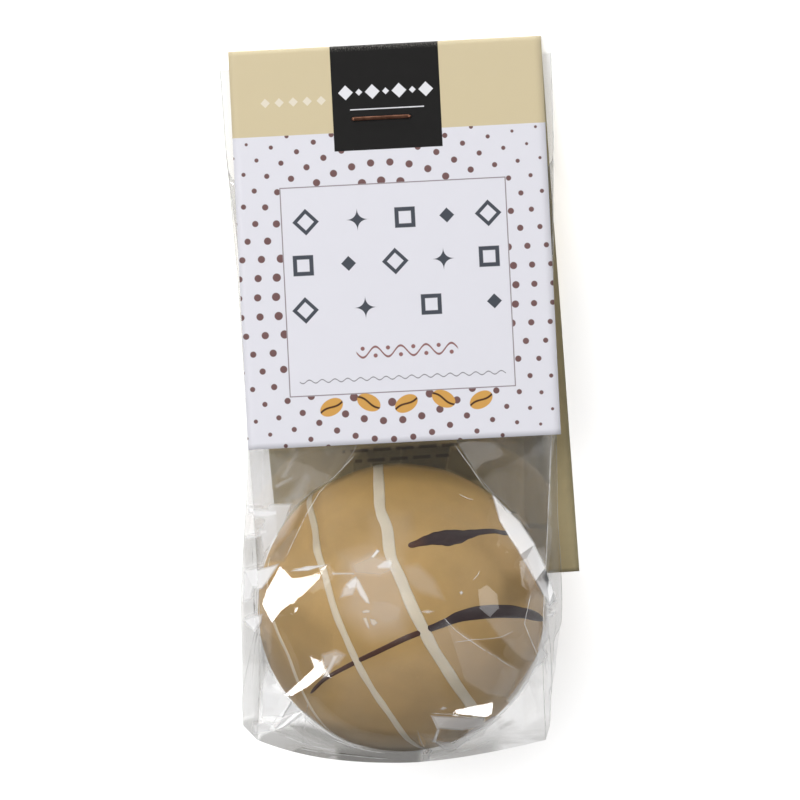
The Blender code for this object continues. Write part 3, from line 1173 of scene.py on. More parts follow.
def bend(p):
    """Turn the bag's upper part with the header."""
    x, y, z = p
    if y <= 0:
        return Vector((x, y, z))
    lean = math.tan(HEADER_TURN)
    middle = HEADER_SHIFT / math.cos(HEADER_TURN) - BEND_SPAN * lean
    power = BEND_SPAN * lean / -middle
    shift = middle * (y / BEND_SPAN) ** power
    turn = math.atan(-power * middle / BEND_SPAN * (y / BEND_SPAN) ** (power - 1))
    if y > BEND_SPAN:
        turn = HEADER_TURN
        shift = middle - (y - BEND_SPAN) * lean
    return Vector((shift + x * math.cos(turn), y + x * math.sin(turn), z))


def unbend(p):
    """The place that bend brings to p."""
    q = Vector(p)
    for _ in range(6):
        q += p - bend(q)
    return q


def lean_at(y):
    """How far the walls lean back at their top, toward the end wall."""
    return END_LEAN * (1.0 - smooth((y - END_Y) / 24.0))


WALL_SPAN = 22.0
WALL_PARTS = 28
BACK_PARTS = 40
TOP_Y = slope_point(0.0, V_TOP - FILM_TOP_DROP, W_FOLD).y


def loose_grid(flat, creases, spacing, seed):
    """Seeded places of a loose grid over a panel, clear of its creases."""
    low_s = min(p.x for p in flat)
    high_s = max(p.x for p in flat)
    low_t = min(p.y for p in flat)
    high_t = max(p.y for p in flat)
    draw = random.Random(seed)
    clear = 0.55 * spacing
    made = []
    row = 0
    t = low_t + spacing
    while t < high_t:
        s = low_s + spacing * (0.5 if row % 2 else 0.0)
        while s < high_s:
            aside = (draw.uniform(-0.2, 0.2) * spacing, draw.uniform(-0.2, 0.2) * spacing)
            spot = Vector((s + aside[0], t + aside[1]))
            if all(crease.distance(spot)[0] > clear for crease in creases):
                made.append(spot)
            s += spacing
        t += spacing * 0.866
        row += 1
    return made


def lifted(place, spot, lift, creases, loose):
    """A point of a panel: loose ones follow the lines near them, all are drawn to the facets."""
    pulls = []
    for crease in creases:
        gap, rise = crease.distance(spot)
        if gap >= crease.reach:
            continue
        if crease.plane is not None:
            pulls.append((crease, 1 - smooth(gap / crease.reach)))
        elif loose:
            lift += rise * (1 - gap / crease.reach) ** 2
    point = place(spot.x, spot.y, lift)
    for crease, share in pulls:
        point.z += (crease.level(point) - point.z) * share
    return point


class Bag:
    """The clear bag's panels before they are joined."""

    def __init__(self, ripple):
        self.tree = taut_wrap()
        self.ripple = ripple
        self.places = []
        self.faces = []
        self.sharp = []
        stations = [END_Y]
        while stations[-1] < TOP_Y - 2.2:
            stations.append(stations[-1] + 1.5)
        stations.append(TOP_Y)
        self.stations = stations
        self.sight_tree = self.coarse_front()

    def wrap_height(self, x, y):
        """Height of the taut front panel over a place."""
        low = front_crease(y)[1]
        if y >= FLAT_TOP_Y:
            return slope_height(y, W_FILM_TOP)
        hit = self.tree.ray_cast(Vector((x, y, 120.0)), Vector((0, 0, -1)))[0]
        if hit is None:
            return low
        t = min(max((y - SAG_FROM_Y) / (FLAT_TOP_Y - SAG_FROM_Y), 0.0), 1.0)
        return max(low, hit.z - SAG * math.sin(math.pi * t))

    def front(self, x, y, lift):
        """The front panel, lifted along its normal."""
        z = self.wrap_height(x, y)
        if lift:
            step = 0.4
            dx = (self.wrap_height(x + step, y) - self.wrap_height(x - step, y)) / (2 * step)
            dy = (self.wrap_height(x, y + step) - self.wrap_height(x, y - step)) / (2 * step)
            return Vector((x, y, z)) + Vector((-dx, -dy, 1.0)).normalized() * lift
        return Vector((x, y, z))

    def coarse_front(self):
        """The bent taut front panel, to meet lines of sight."""
        places = []
        faces = []
        wide = 45
        rows = 0
        y = END_Y + END_LEAN
        while y < 100.0:
            half = front_crease(y)[0]
            for i in range(wide + 1):
                x = -half + 2 * half * i / wide
                places.append(bend((x, y, self.wrap_height(x, y))))
            rows += 1
            y += 1.5
        for k in range(rows - 1):
            for i in range(wide):
                a = k * (wide + 1) + i
                faces.append((a, a + 1, a + wide + 2, a + wide + 1))
        return BVHTree.FromPolygons(places, faces)

    def seen_at(self, px, py):
        """What a pixel shows of the taut front panel."""
        hit = self.sight_tree.ray_cast(EYE, sight(px, py))[0]
        if hit is None:
            hit = self.sight_tree.find_nearest(EYE + sight(px, py) * (EYE_FAR - 20.0))[0]
        return hit

    def front_at(self, px, py):
        """The same in unbent places, as the panels are laid out."""
        return unbend(self.seen_at(px, py))

    def spot_at(self, px, py):
        """What a pixel shows of the front panel, or beside it of the low side walls."""
        ray = sight(px, py)
        hit = self.sight_tree.ray_cast(EYE, ray)[0]
        return hit or EYE + ray * ((12.0 - EYE.z) / ray.z)

    def wall(self, right, s, y, lift):
        """Side wall: s runs over both halves of the gusset, from back crease to front."""
        lean = lean_at(y)
        f_half, f_high = front_crease(y + lean)
        b_half, b_high = back_crease(y, right)
        g_half, g_high = gusset_fold(y, right)
        t = s / WALL_SPAN
        if t <= 1:
            x = b_half + (g_half - b_half) * t
            z = b_high + (g_high - b_high) * t
            out = Vector((g_high - b_high, 0.0, b_half - g_half))
        else:
            x = g_half + (f_half - g_half) * (t - 1)
            z = g_high + (f_high - g_high) * (t - 1)
            out = Vector((f_high - g_high, 0.0, g_half - f_half))
        rise = min(max((z - b_high) / LEAN_RISE, 0.0), 1.0)
        sign = 1 if right else -1
        place = Vector((sign * x, y + lean * rise, z))
        if lift and out.length > 0.1:
            out.normalize()
            place += Vector((sign * out.x, 0.0, out.z)) * lift
        return place

    def back(self, s, y, lift):
        """Back panel: s runs from -1 at the left back crease to 1 at the right."""
        right, high = back_crease(y, True)
        left = back_crease(y, False)[0]
        x = (right - left) / 2 + (right + left) / 2 * s / BAG_HALF
        drop = (BAG_FLOOR - 0.25) * smooth((BACK_END_Y - 1.0 - y) / 3.0)
        inside = min(1.0, (BAG_HALF - abs(s)) / 3.0)
        return Vector((x, y, high - drop * inside + abs(lift) * 0.3))

    def end(self, a, b, lift):
        """End wall: a from -34 to 34 across, b from 0 on the floor to 44 at the crest."""
        share = b / (2 * WALL_SPAN)
        left = self.wall(False, b, END_Y, 0.0)
        right = self.wall(True, b, END_Y, 0.0)
        t = (a / BAG_HALF + 1) / 2
        x = left.x + (right.x - left.x) * t
        floor = back_crease(END_Y, True)[1]
        z = floor + (end_crest(x) - floor) * share
        edge = min(1.0, (1 - abs(a) / BAG_HALF) * 6.0)
        z = z * edge + (left.z + (right.z - left.z) * t) * (1 - edge)
        rise = min(max((z - floor) / LEAN_RISE, 0.0), 1.0)
        return Vector((x, END_Y + END_LEAN * rise - lift, z))

    def panel(self, place, outline, creases, spacing, seed, ripple):
        """Mesh one panel: its outline, its creases and a loose grid between them."""
        flat = [Vector((s, t)) for s, t, _ in outline]
        fixed = [spot for _, _, spot in outline]
        ring = list(range(len(flat)))
        edges = []
        for crease in creases:
            first = len(flat)
            count = len(crease.flat)
            flat += crease.flat
            fixed += crease.spots
            for i in range(count if crease.closed else count - 1):
                edges.append((first + i, first + (i + 1) % count))
        loose = loose_grid(flat, creases, spacing, seed)
        flat += loose
        fixed += [None] * len(loose)
        spots, lines, tris, origin, line_origin, _ = delaunay_2d_cdt(flat, edges, [ring], 1, 1e-4)
        made = []
        for k, spot in enumerate(spots):
            known = [fixed[i] for i in origin[k] if i < len(fixed) and fixed[i] is not None]
            if known and isinstance(known[0], Vector):
                made.append(known[0])
                continue
            wave = noise.noise(Vector((spot.x / 8.0, spot.y / 11.0, seed)))
            wave += 0.4 * noise.noise(Vector((spot.x / 3.1, spot.y / 4.0, seed + 5.0)))
            lift = ripple * wave + (known[0] if known else 0.0)
            made.append(lifted(place, spot, lift, creases, not known))
        first = len(self.places)
        self.places += [bend(self.clear_of_ball(p)) for p in made]
        self.faces += [tuple(first + i for i in tri) for tri in tris]
        for k, line in enumerate(lines):
            if line_origin[k] and min(line_origin[k]) < len(edges):
                self.sharp.append((first + line[0], first + line[1]))

    def clear_of_ball(self, p):
        """Keep the film just outside the sphere."""
        away = p - CENTRE
        least = SPHERE_R + 0.2
        if away.length < least:
            return CENTRE + away.normalized() * least
        return p


class Crease:
    """A line or a closed flat facet that a panel's mesh follows."""

    def __init__(self, flat, spots, closed=False, plane=None, reach=3.0):
        self.flat = [Vector(p) for p in flat]
        self.spots = spots
        self.closed = closed
        self.plane = plane
        self.reach = reach
        self.middle = sum(self.flat, Vector((0.0, 0.0))) / len(self.flat)
        self.round = max((p - self.middle).length for p in self.flat)

    def distance(self, p):
        """Distance to the line or facet and the lift of the nearest place on it."""
        rough = (p - self.middle).length - self.round
        if rough > max(self.reach, 2.0):
            return rough, 0.0
        count = len(self.flat)
        best = (1e9, 0.0)
        inside = False
        for i in range(count if self.closed else count - 1):
            a = self.flat[i]
            b = self.flat[(i + 1) % count]
            along = b - a
            t = min(max((p - a).dot(along) / max(along.length_squared, 1e-9), 0.0), 1.0)
            gap = (p - a - along * t).length
            if gap < best[0]:
                rise = 0.0
                if not isinstance(self.spots[i], Vector):
                    rise = self.spots[i] + (self.spots[(i + 1) % count] - self.spots[i]) * t
                best = (gap, rise)
            if (a.y > p.y) != (b.y > p.y) and p.x < a.x + along.x * (p.y - a.y) / along.y:
                inside = not inside
        if self.closed and inside:
            return 0.0, 0.0
        return best

    def level(self, p):
        """Height of the facet's plane over a place."""
        spot, normal = self.plane
        return spot.z - (normal.x * (p.x - spot.x) + normal.y * (p.y - spot.y)) / normal.z


# Lights that the film mirrors: direction, width and height in millimetres, times white
LIGHTS = {
    "left": ((-0.83, 0.48, 0.28), 200.0, 180.0, 13.0),
    "right": ((0.83, 0.48, 0.28), 200.0, 180.0, 9.0),
    "low_left": ((-0.8, -0.46, 0.37), 200.0, 180.0, 12.0),
    "right_dim": ((0.961, 0.19, 0.178), 220.0, 200.0, 1.7),
    "low": ((0.49, -0.853, 0.18), 200.0, 130.0, 11.0),
}

# Flat facets of the front panel: the light that each turns to, its outline in pixels, and
# how far round it the film is drawn to its plane, in millimetres
FRONT_FACETS = (
    ("left", ((280, 566), (292, 578), (299, 578), (313, 575), (327, 565), (319, 579),
              (304, 594), (290, 604), (281, 611), (272, 623), (266, 612), (262, 604),
              (267, 590)), 1.2),
    ("low_left", ((284, 695), (300, 681), (312, 670), (322, 660), (323, 674), (309, 686),
                  (292, 696)), 1.2),
    ("right", ((493, 496), (506, 509), (519, 522), (534, 545), (545, 568), (553, 592),
               (550, 603), (536, 580), (521, 554), (509, 536), (500, 521)), 0.8),
    ("low", ((455, 710), (493, 702), (492, 714), (487, 717), (456, 714)), 1.2),
    ("low_left", ((274, 731), (294, 714), (303, 711), (283, 727)), 1.0),
    ("right_dim", ((478, 590), (487, 585), (497, 594), (499, 608), (490, 617), (480, 609)), 1.5),
    ("right_dim", ((519, 562), (527, 558), (532, 570), (530, 592), (522, 586)), 1.2),
)

# Left, middle and right of the film, in millimetres across
ZONES = ((-60.0, -14.0), (-14.0, 13.0), (13.0, 60.0))

# Painted sheen and highlights of the front film, pale patches that stand in for its reflections:
# strength, blur in millimetres, corners of a convex patch in pixels
PAINTED_HIGHLIGHTS = (
    (0.17, 4.5, ((345, 558), (372, 548), (398, 560), (410, 600), (402, 632), (372, 636), (344, 612))),
    (0.3, 2.2, ((349, 563), (372, 552), (392, 560), (398, 572), (380, 579), (352, 576))),
    (0.13, 1.4, ((403, 566), (418, 565), (434, 580), (442, 598), (420, 592), (408, 583))),
    (0.22, 2.0, ((370, 598), (388, 598), (404, 606), (400, 622), (384, 627), (366, 616))),
    (0.8, 0.8, ((346, 585), (351.5, 579.5), (356, 577), (358.5, 581), (355.5, 588), (349, 590))),
    (0.5, 1.0, ((341, 597), (343.5, 588), (349, 583), (357, 586), (353, 595))),
    (0.72, 0.6, ((355.5, 577.5), (358.5, 579.5), (368, 598), (369.5, 603.5), (366, 602.5), (360, 595),
                 (356, 587))),
    (0.4, 0.4, ((332, 572.6), (354, 572.4), (355, 574.8), (332, 574.6))),
    (0.75, 0.7, ((376.5, 566), (384, 561), (390, 560), (392, 563), (390, 568.5), (378, 568.8))),
    (0.85, 0.3, ((371, 557), (377, 549.5), (379.5, 551), (373.5, 557.8))),
    (0.45, 0.6, ((361.5, 611), (366, 609.3), (370.5, 610), (369.5, 613), (363, 613.5))),
    (0.45, 0.6, ((362.5, 618), (366.5, 617), (369, 624), (370, 629.5), (367, 627.5))),
    (0.42, 0.7, ((369, 618), (375, 619), (378.5, 623), (374, 626.5), (371, 624.5))),
    (0.45, 0.4, ((421.5, 611.7), (428, 610.3), (433, 611.5), (428, 613.2))),
    (0.6, 0.25, ((459.5, 592.5), (461.5, 591), (463, 592.8), (461.3, 594.5))),
    (0.05, 2.5, ((370, 514), (410, 514), (412, 534), (402, 556), (372, 554))),
    (0.05, 4.0, ((345, 672), (440, 645), (450, 700), (440, 735), (372, 740), (338, 712))),
    (0.05, 1.6, ((272, 452), (338, 447), (354, 451), (340, 468), (318, 488), (298, 484), (277, 474))),
    (0.03, 1.6, ((456, 442), (546, 437), (549, 452), (520, 463), (484, 474), (467, 458))),
    (0.1, 0.8, ((549, 440), (560, 440), (560, 572), (551, 572))),
    (0.09, 0.8, ((292, 530), (299, 528), (284, 561), (267, 562))),
    (0.2, 0.8, ((247, 451), (268, 451), (273, 503), (262, 506), (248, 506))),
    (0.5, 0.5, ((269, 504.5), (291, 504.5), (284, 524), (273, 542), (264, 553), (261, 535))),
    (0.12, 1.4, ((305, 470), (313, 476), (300, 505), (287, 500))),
    (0.21, 1.4, ((287, 500), (300, 505), (286, 536), (268, 550), (272, 528))),
    (0.14, 0.7, ((281, 477), (296, 450), (299, 452), (285, 479))),
    (0.16, 0.5, ((274, 486), (291, 477), (294, 478.5), (277, 488))),
    (0.85, 0.9, ((247, 507.5), (277, 510), (277.5, 515), (268, 517.5), (256, 517), (248, 513.5))),
    (0.7, 1.0, ((259, 530), (268, 528), (268, 534), (259, 536))),
    (0.45, 0.5, ((244, 537.3), (258, 535), (259, 537), (245, 539.8))),
    (0.85, 0.6, ((243, 571), (278, 564.5), (268, 580), (262, 588), (252, 586))),
    (0.7, 0.9, ((243, 574), (252, 573), (255, 584), (251, 598), (243, 602))),
    (0.75, 0.8, ((243, 618), (255, 613), (262, 612), (261, 622), (256, 628), (246, 622))),
    (0.8, 0.3, ((292, 571), (306, 566.5), (326, 565), (308, 570.5))),
    (0.08, 0.9, ((262, 604), (271, 622), (272, 648), (268, 664), (262, 650))),
    (0.3, 0.8, ((322, 655), (336, 650), (345, 655), (338, 664), (324, 668))),
    (0.6, 0.7, ((333, 655), (339, 655), (327, 676), (323.5, 677))),
    (0.75, 0.5, ((272, 731), (284, 718), (302, 711), (304, 714), (283, 727))),
    (0.5, 0.6, ((302, 712), (308, 715), (334, 736), (318, 728.5), (304, 718))),
    (0.22, 0.8, ((318, 726), (352, 743), (358, 748), (346, 746), (328, 735))),
    (0.6, 0.7, ((268, 669), (285, 695), (278, 716), (262, 717), (261.5, 690))),
    (0.6, 0.7, ((283, 692), (301, 711), (284, 716), (274, 716.5))),
    (0.5, 0.8, ((255, 718), (270, 723), (280, 728), (268, 731), (257, 727))),
    (0.8, 0.5, ((493, 495), (507, 509), (520, 522), (535, 545), (521, 554.5), (509, 536), (500, 521))),
    (0.8, 0.5, ((533.5, 543), (545.5, 568), (535, 580), (518.5, 551.5))),
    (0.8, 0.5, ((528, 536), (541, 558), (529, 566), (513, 542))),
    (0.8, 0.5, ((541, 558), (552, 588), (542, 592), (529, 569))),
    (0.8, 0.6, ((544.5, 565.5), (556, 600), (548, 604), (532, 575))),
    (0.55, 0.5, ((542, 616), (549, 611), (556, 610), (551, 615), (543, 619))),
    (0.18, 0.8, ((521, 556), (535, 580), (536, 594), (531, 592), (522, 573))),
    (0.16, 0.8, ((531, 591), (537, 586), (548, 604), (546, 614), (530, 608), (526, 602))),
    (0.17, 0.8, ((445, 621), (520, 670.5), (508, 697), (487, 694), (464, 680))),
    (0.1, 2.0, ((424, 636), (446, 622), (500, 660), (478, 690), (450, 672))),
    (0.15, 0.8, ((486, 618), (516, 617), (540, 622), (540, 642), (532, 662), (524, 660), (500, 637))),
    (0.4, 0.6, ((543.5, 603), (548, 607), (547, 634), (542.5, 634))),
    (0.4, 0.6, ((542.5, 630), (547, 632), (541, 652), (537, 650))),
    (0.45, 0.7, ((541, 645), (545, 650), (536, 668), (532, 664))),
    (0.45, 0.7, ((533, 661), (538, 664), (524, 688), (519, 685))),
    (0.45, 0.7, ((520, 682), (525, 686), (511, 705), (506.5, 701))),
    (0.68, 0.6, ((432, 716), (484, 718), (482, 726), (462, 730), (438, 728))),
    (0.6, 0.6, ((464, 735), (478, 726), (493, 716.5), (500, 717), (485, 729), (470, 738))),
    (0.5, 0.7, ((433, 740.5), (456, 743), (457, 748), (444, 750))),
    (0.5, 0.7, ((452, 744), (466, 734), (469, 739.5), (457, 748))),
    (0.6, 0.4, ((432, 716.5), (438, 721), (440, 729), (437, 729))),
    (0.6, 0.4, ((437.3, 729), (439.8, 729), (437, 738), (434, 742.5), (432.6, 741))),
    (0.5, 0.5, ((422.5, 764.5), (423.5, 754), (429, 755), (429, 764.5))),
    (0.5, 0.5, ((423.5, 757), (430, 749), (432, 751), (428.5, 757.5))),
    (0.5, 0.3, ((440, 709), (443, 706.5), (447, 708), (443, 710))),
)

# Painted shade on the front film, in the same way: darker patches for the shadow under the card's
# front edge, shade round the sphere and at the foot, and dark fold lines
PAINTED_SHADE = (
    (0.16, 3.0, ((264, 600), (305, 612), (332, 635), (326, 690), (300, 698), (268, 655))),
    (0.2, 1.5, ((304, 492), (318, 490), (325, 545), (312, 548))),
    (0.38, 0.5, ((280, 567), (282, 570), (266, 602), (262, 603))),
    (0.3, 0.9, ((258, 628), (264, 634), (266, 665), (262, 700), (257, 722), (255, 690))),
    (0.3, 0.8, ((308, 489), (319, 488), (293, 540), (286, 546))),
    (0.3, 0.8, ((292, 530), (299, 528), (284, 561), (267, 562))),
    (0.3, 1.0, ((262, 625), (278, 640), (300, 688), (290, 698), (268, 668))),
    (0.22, 1.0, ((242, 540), (258, 538), (258, 716), (242, 716))),
    (0.48, 1.0, ((262, 735), (284, 728), (318, 731), (346, 743), (362, 752), (362, 768), (300, 762),
                (250, 748))),
    (0.6, 1.0, ((286, 722), (316, 728), (346, 742), (366, 752), (352, 757), (325, 747), (300, 736))),
    (0.4, 1.0, ((244, 716), (258, 718), (260, 744), (251, 743), (244, 732))),
    (0.5, 0.8, ((260, 640), (267, 640), (276, 684), (268, 690), (262, 670))),
    (0.45, 4.0, ((424, 748), (500, 738), (498, 752), (460, 762), (424, 768))),
    (0.86, 3.0, ((334, 746), (424, 748), (423, 776), (334, 776))),
    (0.3, 2.0, ((322, 722), (420, 736), (432, 750), (400, 757), (360, 754), (330, 738))),
    (0.6, 0.5, ((427, 750), (456, 748.3), (458, 750.5), (428, 758))),
    (0.3, 0.7, ((441, 731), (452, 729), (468, 730), (460, 737), (446, 740), (438, 738))),
    (0.26, 0.8, ((455, 752), (480, 745), (484, 750), (462, 757))),
    (0.34, 0.7, ((466, 739), (488, 728), (484, 736), (466, 743))),
    (0.34, 0.7, ((498, 727), (512, 719), (516, 722), (500, 731))),
    (0.28, 2.5, ((503, 574), (520, 574), (532, 593), (527, 603), (508, 607), (500, 600))),
    (0.2, 0.7, ((479, 641), (502, 638), (527, 661), (521, 670), (497, 657))),
    (0.5, 0.8, ((329, 486), (344, 467), (360, 450), (366, 449), (352, 475))),
    (0.66, 0.8, ((352, 462), (362, 449), (378, 447), (371, 467.5), (352, 474))),
    (0.74, 0.8, ((362, 449), (402, 446), (402, 463.5), (372, 467))),
    (0.74, 0.8, ((400, 446), (452, 444), (446, 470), (400, 464))),
    (0.55, 0.8, ((450, 444), (462, 452), (480, 480), (470, 480), (446, 469))),
    (0.16, 1.2, ((457, 441), (547, 436), (553, 560), (546, 568), (493, 497))),
    (0.16, 1.2, ((268, 450), (340, 446), (324, 484), (290, 505), (272, 505))),
)

# Stacked film that mirrors more of the pale surroundings, in the same way
GLINT = (
    (0.36, 0.8, ((547, 572), (561, 572), (561, 612), (550, 611))),
    (0.3, 1.2, ((506, 706), (530, 682), (541, 690), (544, 716), (522, 732), (500, 718))),
    (0.2, 1.0, ((544, 632), (552, 640), (547, 690), (532, 690), (527, 680))),
    (0.12, 0.8, ((466, 728), (484, 719), (489, 722), (470, 734))),
)

# Creases of the front panel: lines as (pixel across, pixel down, lift in millimetres)
FRONT_CREASES = (
    ((354, 456, 0.0), (338, 473, 0.2), (320, 492, 0.25), (307, 514, 0.25), (295, 539, 0.2),
     (284, 562, 0.0)),
    ((455, 445, 0.0), (470, 466, 0.25), (484, 487, 0.25), (493, 495, 0.0)),
    ((444, 618, 0.0), (455, 630, 0.3), (473, 642.5, 0.4), (495, 656, 0.4), (521, 671, 0.0)),
    ((455, 642, 0.0), (473, 639, 0.3), (500, 636.5, 0.35), (517, 629, 0.0)),
    ((260, 634, 0.0), (261, 660, 0.3), (261, 690, 0.3), (257, 722, 0.0)),
    ((304, 713, 0.0), (317, 724, 0.2), (333, 735, 0.2), (375, 752, 0.0)),
    ((547, 600, 0.0), (544, 630, 0.2), (538, 658, 0.3), (527, 682, 0.3), (507, 707, 0.3),
     (489, 722, 0.3), (464, 737, 0.0)),
    ((418, 762, 0.0), (440, 754, 0.5), (475, 745, 0.5), (512, 728, 0.0)),
    ((292, 569, 0.0), (308, 567, 0.25), (326, 565, 0.0)),
    ((250, 722, 0.0), (270, 728, 0.4), (303, 741, 0.4), (345, 752, 0.0)),
    ((262, 742, 0.0), (300, 750, -0.4), (350, 757, -0.4), (400, 759, 0.0)),
    ((330, 738, 0.0), (360, 747, 0.3), (398, 754, 0.0)),
    ((431, 715, 0.0), (437.5, 728, 0.3), (435, 740, 0.4), (453, 750, 0.0)),
    ((431.5, 713, 0.0), (452, 713, 0.25), (483, 718, 0.0)),
    ((459, 494, 0.0), (467, 498, 0.25), (475, 500, 0.0)),
    ((473, 580, 0.0), (477, 575, 0.2), (480.5, 569, 0.0)),
    ((423, 764, 0.0), (428, 754, 0.4), (435, 748, 0.0)),
)


def facet(bag, toward, outline, reach):
    """A flat facet whose mirror direction is one of the lights, in front of the sphere."""
    normal = (OUTWARD + Vector(LIGHTS[toward][0]).normalized()).normalized()
    hits = [bag.front_at(px, py) for px, py in outline]
    level = sum(normal.dot(hit - CENTRE) for hit in hits) / len(hits)
    for px, py in outline:
        away = Vector(on_ball(px, py, SPHERE_R + 0.3)) * (SPHERE_R + 0.3)
        level = max(level, normal.dot(away))
    spots = []
    for px, py in outline:
        ray = sight(px, py)
        far = (level - normal.dot(EYE - CENTRE)) / normal.dot(ray)
        spots.append(unbend(EYE + ray * far))
    flat = [(spot.x, spot.y) for spot in spots]
    return Crease(flat, spots, closed=True, plane=(spots[0], normal), reach=reach)


def ridge(bag, line):
    """A raised crease of the front panel."""
    spots = [bag.front_at(px, py) for px, py, _ in line]
    return Crease([(spot.x, spot.y) for spot in spots], [lift for _, _, lift in line])


def random_creases(seed, low, high, count, reach, lift):
    """Short bent creases at seeded places of a panel."""
    draw = random.Random(seed)
    made = []
    for _ in range(count):
        middle = Vector((draw.uniform(low[0] + reach, high[0] - reach),
                         draw.uniform(low[1] + reach, high[1] - reach)))
        turn = draw.uniform(0, math.pi)
        step = Vector((math.cos(turn), math.sin(turn))) * reach * draw.uniform(0.5, 1.0)
        rise = lift * draw.choice((-1, 1)) * draw.uniform(0.5, 1.0)
        bent = middle + Vector((-step.y, step.x)) * draw.uniform(-0.25, 0.25)
        made.append(Crease([middle - step, bent, middle + step], [0.0, rise, 0.0], reach=2.5))
    return made


def front_panel(bag, tops):
    """Mesh the front panel; gives its creases and the crease toward the end wall."""
    crest = []
    for x in between(tops[True][0].x, tops[False][0].x, 40):
        z = end_crest(x)
        rise = min((z - BAG_FLOOR) / LEAN_RISE, 1.0)
        crest.append(Vector((x, END_Y + END_LEAN * rise, z)))
    flat = slope_height(TOP_Y, W_FILM_TOP)
    top_edge = [Vector((x, TOP_Y, flat)) for x in between(tops[False][-1].x, tops[True][-1].x, 40)]
    around = tops[False][::-1] + crest[::-1] + tops[True] + top_edge[::-1]
    outline = [(p.x, p.y, p) for p in around]
    creases = [facet(bag, *made) for made in FRONT_FACETS]
    creases += [ridge(bag, line) for line in FRONT_CREASES]
    bag.panel(bag.front, outline, creases, 1.5, 11, bag.ripple)
    return creases, crest


def side_panel(bag, right, top, low):
    """Mesh the gusset wall of one side, with its inner fold."""
    span = 2 * WALL_SPAN
    steps = between(0.0, span, WALL_PARTS)
    outline = [(0.0, y, p) for y, p in zip(bag.stations, low)]
    outline += [(s, TOP_Y, bag.wall(right, s, TOP_Y, 0.0)) for s in steps]
    outline += [(span, y, p) for y, p in zip(reversed(bag.stations), reversed(top))]
    outline += [(s, END_Y, bag.wall(right, s, END_Y, 0.0)) for s in reversed(steps)]
    inner = [bag.wall(right, WALL_SPAN, y, 0.0) for y in bag.stations]
    fold = Crease([(WALL_SPAN, y) for y in bag.stations], inner, reach=0.0)

    def place(s, t, lift):
        return bag.wall(right, s, t, lift)

    loose = random_creases(41 + right, (1, END_Y + 2), (span - 1, 60.0), 26, 6.0, 0.55)
    bag.panel(place, outline, [fold] + loose, 1.8, 23 + right, bag.ripple * 1.6)


def back_panel(bag, lows):
    """Mesh the back panel."""
    half = BAG_HALF
    outline = [(half, y, p) for y, p in zip(bag.stations, lows[True])]
    outline += [(s, TOP_Y, bag.back(s, TOP_Y, 0.0)) for s in between(half, -half, BACK_PARTS)]
    outline += [(-half, y, p) for y, p in zip(reversed(bag.stations), reversed(lows[False]))]
    outline += [(s, END_Y, bag.back(s, END_Y, 0.0)) for s in between(-half, half, BACK_PARTS)]
    bag.panel(bag.back, outline, [], 3.0, 31, bag.ripple)


def end_panel(bag, tops, lows, crest):
    """Mesh the end wall."""
    half = BAG_HALF
    span = 2 * WALL_SPAN
    steps = between(0.0, span, WALL_PARTS)
    outline = [(-half, 0.0, lows[False][0])]
    outline += [(a, 0.0, bag.back(a, END_Y, 0.0)) for a in between(-half, half, BACK_PARTS)]
    outline.append((half, 0.0, lows[True][0]))
    outline += [(half, b, bag.wall(True, b, END_Y, 0.0)) for b in steps]
    outline.append((half, span, tops[True][0]))
    for p in crest:
        share = (p.x - tops[False][0].x) / (tops[True][0].x - tops[False][0].x)
        outline.append((-half + 2 * half * share, span, p))
    outline.append((-half, span, tops[False][0]))
    outline += [(-half, b, bag.wall(False, b, END_Y, 0.0)) for b in reversed(steps)]
    loose = random_creases(57, (-half + 1, 1), (half - 1, span - 1), 22, 8.0, 0.7)
    bag.panel(bag.end, outline, loose, 2.2, 37, bag.ripple * 2)


def join_panels(bag, piece):
    """Merge the panels along their shared edges and keep the creases sharp."""
    bm = bmesh.new()
    bm.from_mesh(piece.data)
    bm.verts.ensure_lookup_table()
    for a, b in bag.sharp:
        edge = bm.edges.get((bm.verts[a], bm.verts[b]))
        if edge is not None:
            edge.smooth = False
    bmesh.ops.remove_doubles(bm, verts=bm.verts[:], dist=0.02 * MM)
    bmesh.ops.dissolve_degenerate(bm, edges=bm.edges[:], dist=0.005 * MM)
    bmesh.ops.recalc_face_normals(bm, faces=bm.faces[:])
    limit = math.radians(34)
    for edge in bm.edges:
        if len(edge.link_faces) == 2 and edge.calc_face_angle(0.0) > limit:
            edge.smooth = False
    bm.to_mesh(piece.data)
    bm.free()


def build_bag(bag, material):
    """Front panel, two gusset walls, back panel and end wall, joined along the creases."""
    tops = {}
    lows = {}
    for right in (False, True):
        tops[right] = [bag.wall(right, 2 * WALL_SPAN, y, 0.0) for y in bag.stations]
        lows[right] = [bag.wall(right, 0.0, y, 0.0) for y in bag.stations]
    creases, crest = front_panel(bag, tops)
    for right in (False, True):
        side_panel(bag, right, tops[right], lows[right])
    back_panel(bag, lows)
    end_panel(bag, tops, lows, crest)
    piece = add_piece("clear_bag", bag.places, bag.faces, [material])
    join_panels(bag, piece)
    piece.visible_shadow = False
    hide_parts("film_bag")
    return creases, tops, lows


CREASE_R = 0.07


def crease_finish():
    """Film whitened along a sharp crease, partly a painted highlight of the crease."""
    finish = Finish("crease_whitening_and_highlight")
    place = finish.place()
    broken = finish.clouds(place, 3.0, 2.0)
    pale = finish.node(
        "ShaderNodeBsdfDiffuse", None, {"Color": (0.9, 0.9, 0.9, 1.0), "Roughness": 0.5}
    )
    clear = finish.node("ShaderNodeBsdfTransparent", None, {"Color": (0.98, 0.98, 0.98, 1.0)})
    share = broken.above(0.45, 0.5) * 0.5 + 0.08
    both = finish.node("ShaderNodeMixShader", None, {0: share, 1: clear, 2: pale})
    finish.node("ShaderNodeOutputMaterial", None, {"Surface": both})
    return finish.material


